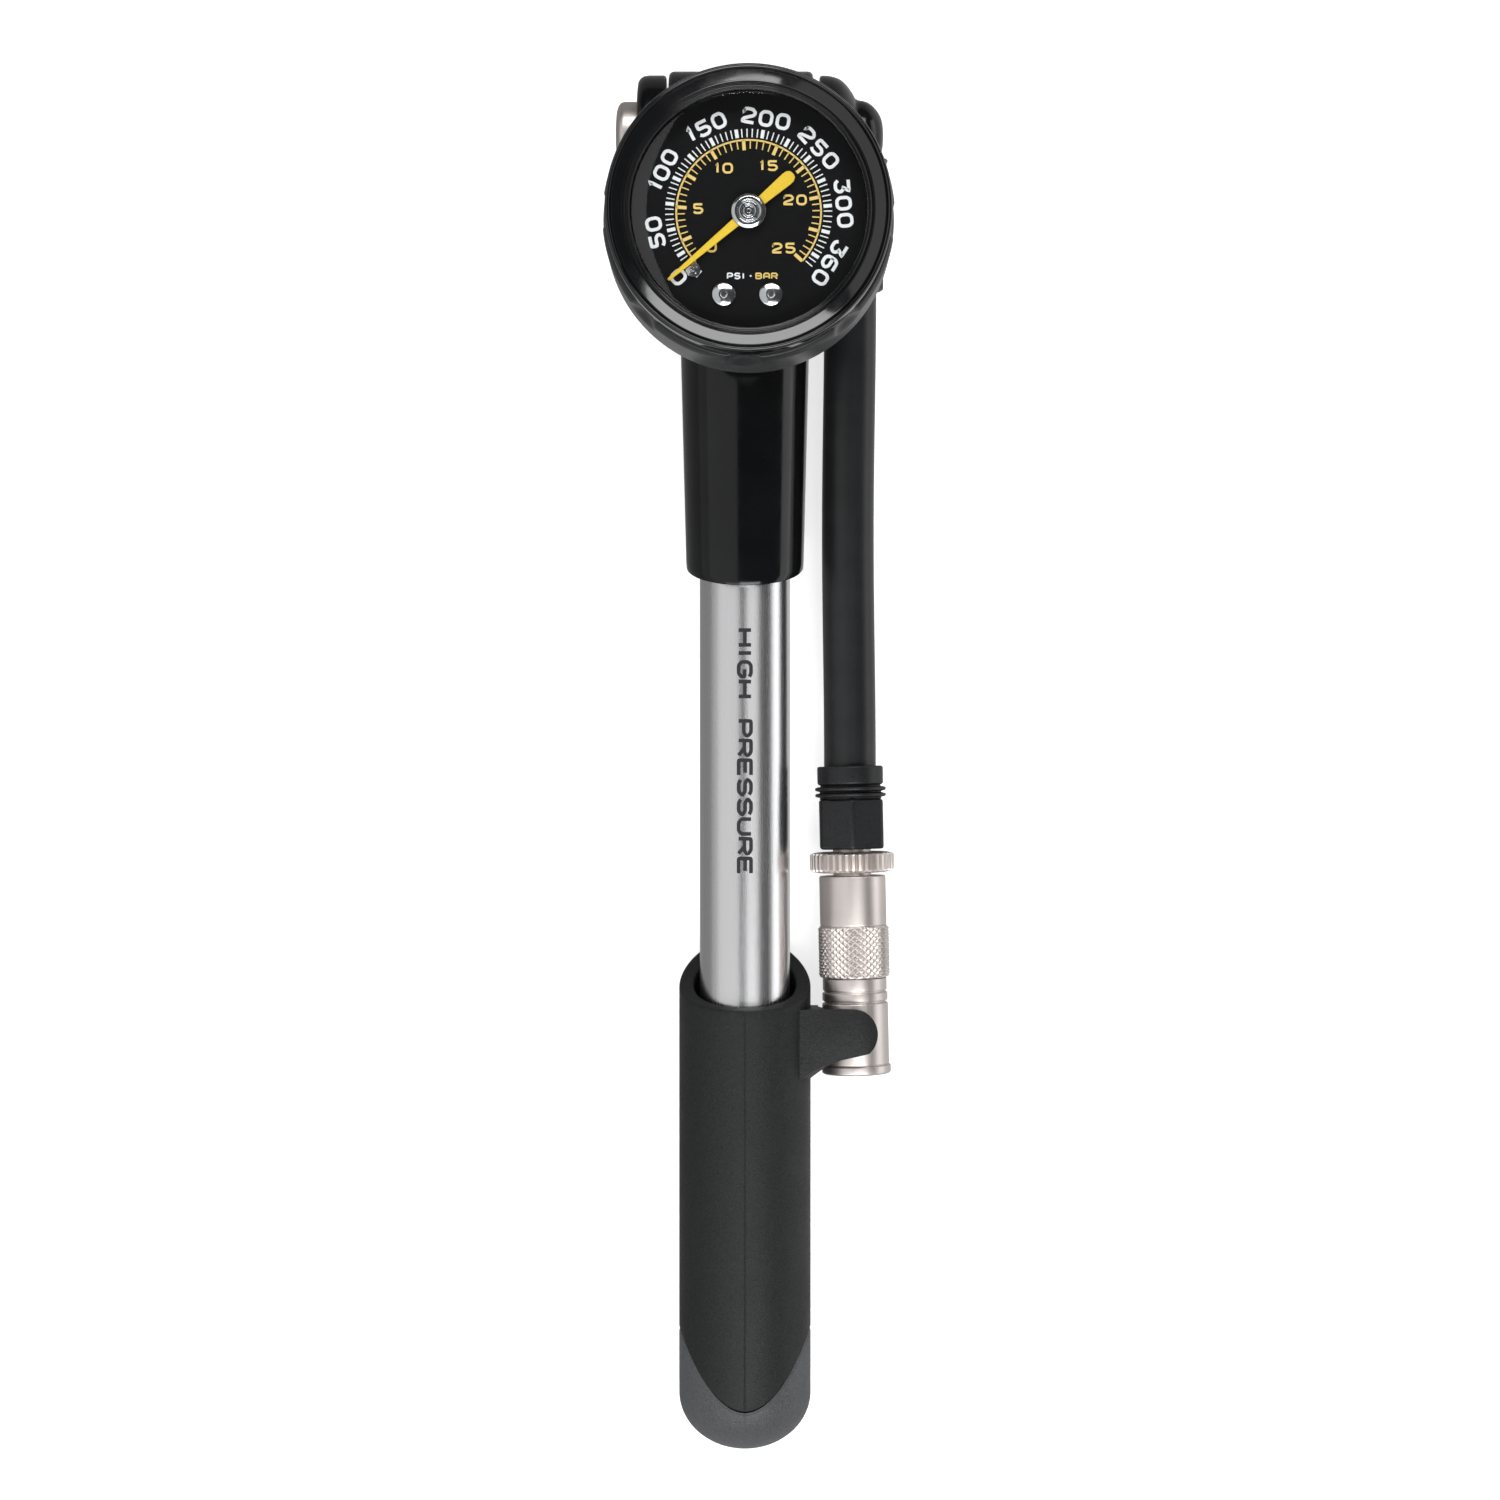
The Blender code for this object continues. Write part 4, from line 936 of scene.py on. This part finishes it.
# ---- Chuck ----
WHEEL_TEETH, TOOTH_DEPTH = 40, 0.62
# The knurl: diamonds round the chuck, the length of one, mesh rows along it, and the height of a peak.
KNURL_ACROSS, KNURL_PITCH, KNURL_ROWS = 30, 1.0, 12
KNURL_ROOT_R, KNURL_RISE, KNURL_FLAT = 5.32, 0.33, 0.9


def make_chuck():
    turned(
        "hose_arm", "nickel", "chuck_stem", "chuck_stem_tube",
        rounded([(1.35, 9.5), (2.1, 9.5, 0.2), (2.1, 4.5), (3.0, 4.5), (3.0, -6.5), (4.0, -6.5), (4.0, -8.0, 0.2),
                 (1.35, -8.0)]),
        CHUCK, 64,
    )

    def coined(turn, radius, height):
        tooth = 0.5 + 0.5 * np.cos(turn * WHEEL_TEETH)
        depth = TOOTH_DEPTH * (1 - np.clip(tooth * 1.6, 0, 1) ** 0.8)
        return np.where(radius > 5.9, radius - depth, radius), height

    turned(
        "thumb_wheel", "nickel", "thumb_wheel", "thumb_wheel_ring",
        rounded([(3.12, -0.35), (5.4, -0.35), (6.65, -0.6, 0.35), (6.65, -3.3, 0.35), (5.4, -3.6), (3.12, -3.6)]),
        CHUCK, 400, coined,
    )

    rows = [-step / KNURL_ROWS for step in range(145, 242)]

    def knurled(turn, radius, height):
        band = (height <= rows[0] + 1e-6) & (height >= rows[-1] - 1e-6) & (radius > 5.3)
        first = turn * KNURL_ACROSS / math.tau + height / KNURL_PITCH
        second = turn * KNURL_ACROSS / math.tau - height / KNURL_PITCH
        peak_one = 1 - np.abs((first % 1.0) * 2 - 1)
        peak_two = 1 - np.abs((second % 1.0) * 2 - 1)
        rise = np.minimum(np.minimum(peak_one, peak_two), KNURL_FLAT)
        ends = np.clip(np.minimum(rows[0] - height, height - rows[-1]) / 0.25, 0, 1)
        return np.where(band, KNURL_ROOT_R + KNURL_RISE * rise * ends, radius), height

    outline = rounded([(4.25, -20.2), (4.25, -6.2), (3.12, -6.2), (3.12, -4.1), (5.25, -4.1, 0.35),
                       (5.25, -11.85, 0.1), (5.15, -12.0)])
    outline += [(5.5, along) for along in rows] + [(5.15, -20.12), (5.1, -20.2)]
    turned("chuck", "nickel", "chuck_body", "chuck_body_shell", outline, CHUCK, 360, knurled)
    turned(
        "chuck", "nickel", "chuck_nozzle", "chuck_nozzle_shell",
        rounded([(1.5, -18.6), (1.5, -9.0), (4.1, -9.0), (4.1, -20.3), (5.05, -20.3, 0.12), (5.05, -22.15, 0.1),
                 (4.85, -22.28, 0.05), (4.85, -22.42, 0.05), (5.15, -22.6, 0.12), (5.15, -23.75, 0.12),
                 (4.85, -23.9, 0.05), (4.85, -24.05, 0.05), (5.2, -24.25, 0.15), (5.2, -33.75, 0.1),
                 (5.1, -33.85, 0.05), (5.45, -34.05, 0.15), (5.45, -35.2, 0.25), (5.1, -35.4, 0.1),
                 (4.3, -35.4, 0.1), (3.95, -35.0, 0.1), (3.95, -18.6)]),
        CHUCK, 128,
    )


# ---- Handle ----
HANDLE_R, HANDLE_BORE_R = 10.35, 8.0
HANDLE_MOUTH, MOUTH_SLOPE, MOUTH_CURVE = -32.0, 0.52, 0.016
HANDLE_DOME, HANDLE_END = -96.3, -105.1
CAP_LINE_LOW, CAP_LINE_RISE = -97.5, 11.6
CAP_DOME_CURVE = 12.6  # the length of the dome's curve, from its tip to its straight wall
CAP_WALL = 2.35


def seam_angles(steps):
    """Even angles, with more of them at the front and back mould lines."""
    angles = list(even_angles(steps))
    for middle in (math.pi / 2, 3 * math.pi / 2):
        angles += [middle + math.radians(offset) for offset in (-1.6, -1.0, -0.6, 0.6, 1.0, 1.6)]
    return angles


def mould_line(turn):
    """A fine raised line where the two mould halves met."""
    away = np.minimum(np.abs(turn - math.pi / 2), np.abs(turn - 3 * math.pi / 2))
    return 0.08 * np.clip(1 - np.degrees(away) / 0.9, 0, 1)


def cap_line(turn):
    return CAP_LINE_LOW + CAP_LINE_RISE * np.cos(turn) ** 2


def make_grip():
    rows = 60
    rim = [(HANDLE_BORE_R, 0.0), (HANDLE_BORE_R, 1.0, 0.9), (HANDLE_R, 1.0, 1.1), (HANDLE_R, 0.0)]
    rim = rounded(rim, 5)[1:-1]
    outline = [(HANDLE_BORE_R, -2.0), *rim]
    outline += [(HANDLE_R, -2.0 - number) for number in range(rows)]
    outline += [(HANDLE_R - 0.2, -1000.0), (HANDLE_BORE_R, -1001.0)]
    last = len(rim) + 1

    def fitted(turn, radius, height):
        up = -radius * np.sin(turn)
        mouth = HANDLE_MOUTH - MOUTH_SLOPE * up + MOUTH_CURVE * up * up
        made = mouth + height - 1.0
        share = (np.arange(height.shape[1])[None, :] - last) / (rows - 1)
        outer = (mouth - 1.5) * (1 - share) + (cap_line(turn) + 0.22) * share
        tail = last + rows
        made[:, last:tail] = outer[:, last:tail]
        line = cap_line(turn[:, 0]) + 0.05
        made[:, tail], made[:, tail + 1] = line, np.maximum(line, -94.5)
        radius = radius + np.where(radius > HANDLE_R - 0.05, mould_line(turn), 0)
        return radius, made

    grip = revolve("handle_grip_shell", outline, PUMP, angles=seam_angles(160), shape=fitted)
    combine(grip, make_hook(), "UNION")
    smooth(grip, 38)
    fit_out(grip, "plunger", "matte", "handle_grip")


CLIP_CENTRE = (17.35, -1.9)  # side, up
CLIP_INNER_R, CLIP_OUTER_R = 5.75, 7.8
CLIP_TOP, CLIP_FOOT = -35.8, -47.8


def make_hook():
    """The hose clip: a J round the chuck, open at the back, trimmed to a rounded tongue."""
    centre = CLIP_CENTRE
    section = arc(centre, CLIP_OUTER_R, 62, 90, 8)
    section += [(8.4, centre[1] + CLIP_OUTER_R), (8.6, -4.4), (centre[0] - CLIP_INNER_R, -4.4)]
    section += arc(centre, CLIP_INNER_R, 180, 62, 32)
    upright = FLAT @ Matrix(((1, 0, 0, 0), (0, 0, 1, 0), (0, 1, 0, 0), (0, 0, 0, 1)))
    hook = prism("hook", section, CLIP_FOOT - 2, CLIP_TOP + 2, upright)
    tip = [(4.0, CLIP_TOP), (16.8, CLIP_TOP)] + arc((16.85, CLIP_TOP - 3.9), 3.9, 84, -50, 18)
    # The lower edge: side, along at the back, and how much higher the front edge lies, for a slanting underside.
    edge = ((15.0, 3.75, 0.4), (13.0, 2.9, 0.7), (11.6, 2.0, 1.0), (10.4, 1.1, 1.3), (9.4, 0.3, 1.5),
            (8.6, -0.4, 1.6), (4.0, -0.6, 1.6))
    behind = tip + [(side, CLIP_FOOT + along) for side, along, rise in edge]
    before = tip + [(side, CLIP_FOOT + along + rise) for side, along, rise in edge]
    layers = [(behind, -12), (behind, 2.2), (before, 5.9), (before, 12)]
    combine(hook, layered("tongue", layers, FLAT), "INTERSECT")
    return bevelled(hook, 0.3, 3, 34)


def make_end_cap():
    """A domed cup: its outside follows the cap's line, and its inside is the same shape drawn in."""
    rows = 64
    turn_list = np.array(sorted(seam_angles(160)))
    turn = np.repeat(turn_list[:, None], rows, axis=1)
    share = np.arange(rows)[None, :] / (rows - 1)
    straight = cap_line(turn) - 0.05 - HANDLE_DOME
    reach = share * (CAP_DOME_CURVE + straight)
    bend = np.clip(reach / CAP_DOME_CURVE, 0, 1) * math.pi / 2
    radius = np.where(reach < CAP_DOME_CURVE, HANDLE_R * np.sin(bend), HANDLE_R)
    height = np.where(reach < CAP_DOME_CURVE, HANDLE_DOME - (HANDLE_DOME - HANDLE_END) * np.cos(bend),
                      HANDLE_DOME + reach - CAP_DOME_CURVE)
    edge = share > 1 - 1.5 / (rows - 1)
    radius = radius - np.where(edge, 0.12, 0) + mould_line(turn) * np.clip(radius / HANDLE_R, 0, 1) ** 4
    outer = np.stack([radius * np.cos(turn), radius * np.sin(turn), height], axis=2)
    scale_in = np.clip((radius - CAP_WALL) / np.maximum(radius, 1e-6), 0, 1)[..., None]
    inner = outer * np.concatenate([scale_in, scale_in, np.ones_like(scale_in)], axis=2)
    inner[..., 2] = np.maximum(inner[..., 2] + 0.6, -98.5)
    count = len(turn_list)
    points = np.concatenate([outer.reshape(-1, 3), inner.reshape(-1, 3)])
    faces = []
    for spoke in range(count):
        following = (spoke + 1) % count
        for row in range(rows - 1):
            for shift, flip in ((0, 1), (count * rows, -1)):
                here, beside = spoke * rows + row, following * rows + row
                face = (here, beside, beside + 1, here + 1)
                faces.append(tuple(shift + corner for corner in face[::flip]))
        top, next_top = spoke * rows + rows - 1, following * rows + rows - 1
        faces.append((top, next_top, next_top + count * rows, top + count * rows))
    cap = mesh_piece("handle_end_shell", points, faces, PUMP)
    fit_out(cap, "plunger", "grey", "handle_end_cap")


def make_rod():
    turned(
        "plunger", "steel", "piston_rod", "piston_rod_bar",
        rounded([(0, 71.5), (2.0, 71.5, 0.2), (2.0, 64.5), (3.0, 64.5, 0.2), (3.0, -94.3, 0.2), (0, -94.3)]),
        PUMP, 64,
    )


def make_spring(name, node, matrix, radius, low, high, turns):
    """A coil spring at the length that it has when its joint is pressed to the stop."""
    around, spokes, wire = 24, 10, 0.25
    steps = turns * around
    points, faces = [], []
    for step in range(steps + 1):
        turn = math.tau * step / around
        along = low + (high - low) * step / steps
        for spoke in range(spokes):
            lean = math.tau * spoke / spokes
            reach = radius + wire * math.cos(lean)
            points.append((reach * math.cos(turn), reach * math.sin(turn), along + wire * math.sin(lean)))
    for step in range(steps):
        for spoke in range(spokes):
            here, beside = step * spokes + spoke, step * spokes + (spoke + 1) % spokes
            faces.append((here, here + spokes, beside + spokes, beside))
    faces += [tuple(range(spokes)), tuple(range(steps * spokes, (steps + 1) * spokes))[::-1]]
    spring = mesh_piece(name, points, faces, matrix)
    smooth(spring, 50)
    fit_out(spring, "pump", "steel", node)


# ---- Inner pieces that keep their CAD shape ----
NODE_LOOKS = {
    "brass": ["check_valve_seat", "gauge_stem", "bourdon_tube", "gauge_link", "movement_lower_plate",
              "movement_upper_plate", "sector_gear", "bleeder_valve", "swivel_stem", "piston", "depressor_pin"],
    "steel": ["rod_screw", "pinion_arbor"],
    "seal": ["barrel_seal", "rod_wiper", "piston_seal", "rod_bumper", "check_valve_poppet", "swivel_seal_inner",
             "swivel_seal_outer", "chuck_gasket"],
    "matte": ["barrel_end_cap", "gauge_case"],
}


def dress_inner_nodes():
    for looks, names in NODE_LOOKS.items():
        for name in names:
            dress(frame["nodes"][name], looks)


def main():
    make_camera()
    make_stage()
    make_lights()
    make_barrel()
    make_sleeve()
    make_head()
    make_bleeder()
    make_spring("check_valve_coil", "check_valve_spring", PUMP, radius=1.75, low=80.9, high=87.85, turns=4)
    make_spring("bleeder_coil", "bleeder_spring", CROSS, radius=3.2, low=-14.95, high=-13.6, turns=2)
    make_gauge_shell()
    make_dial()
    make_pointer()
    make_union()
    make_hose()
    make_collar("collar_upper_shell", "hose_collar_upper", OUTLET,
                mouth=UPPER_MOUTH, flange=79.6, foot=90.4, hole=2.3)
    make_collar("collar_lower_shell", "hose_collar_lower", CHUCK,
                mouth=13.2, flange=10.4, foot=0.1, hole=3.15)
    make_chuck()
    make_grip()
    make_end_cap()
    make_rod()
    dress_inner_nodes()
    light_metal_only()


main()
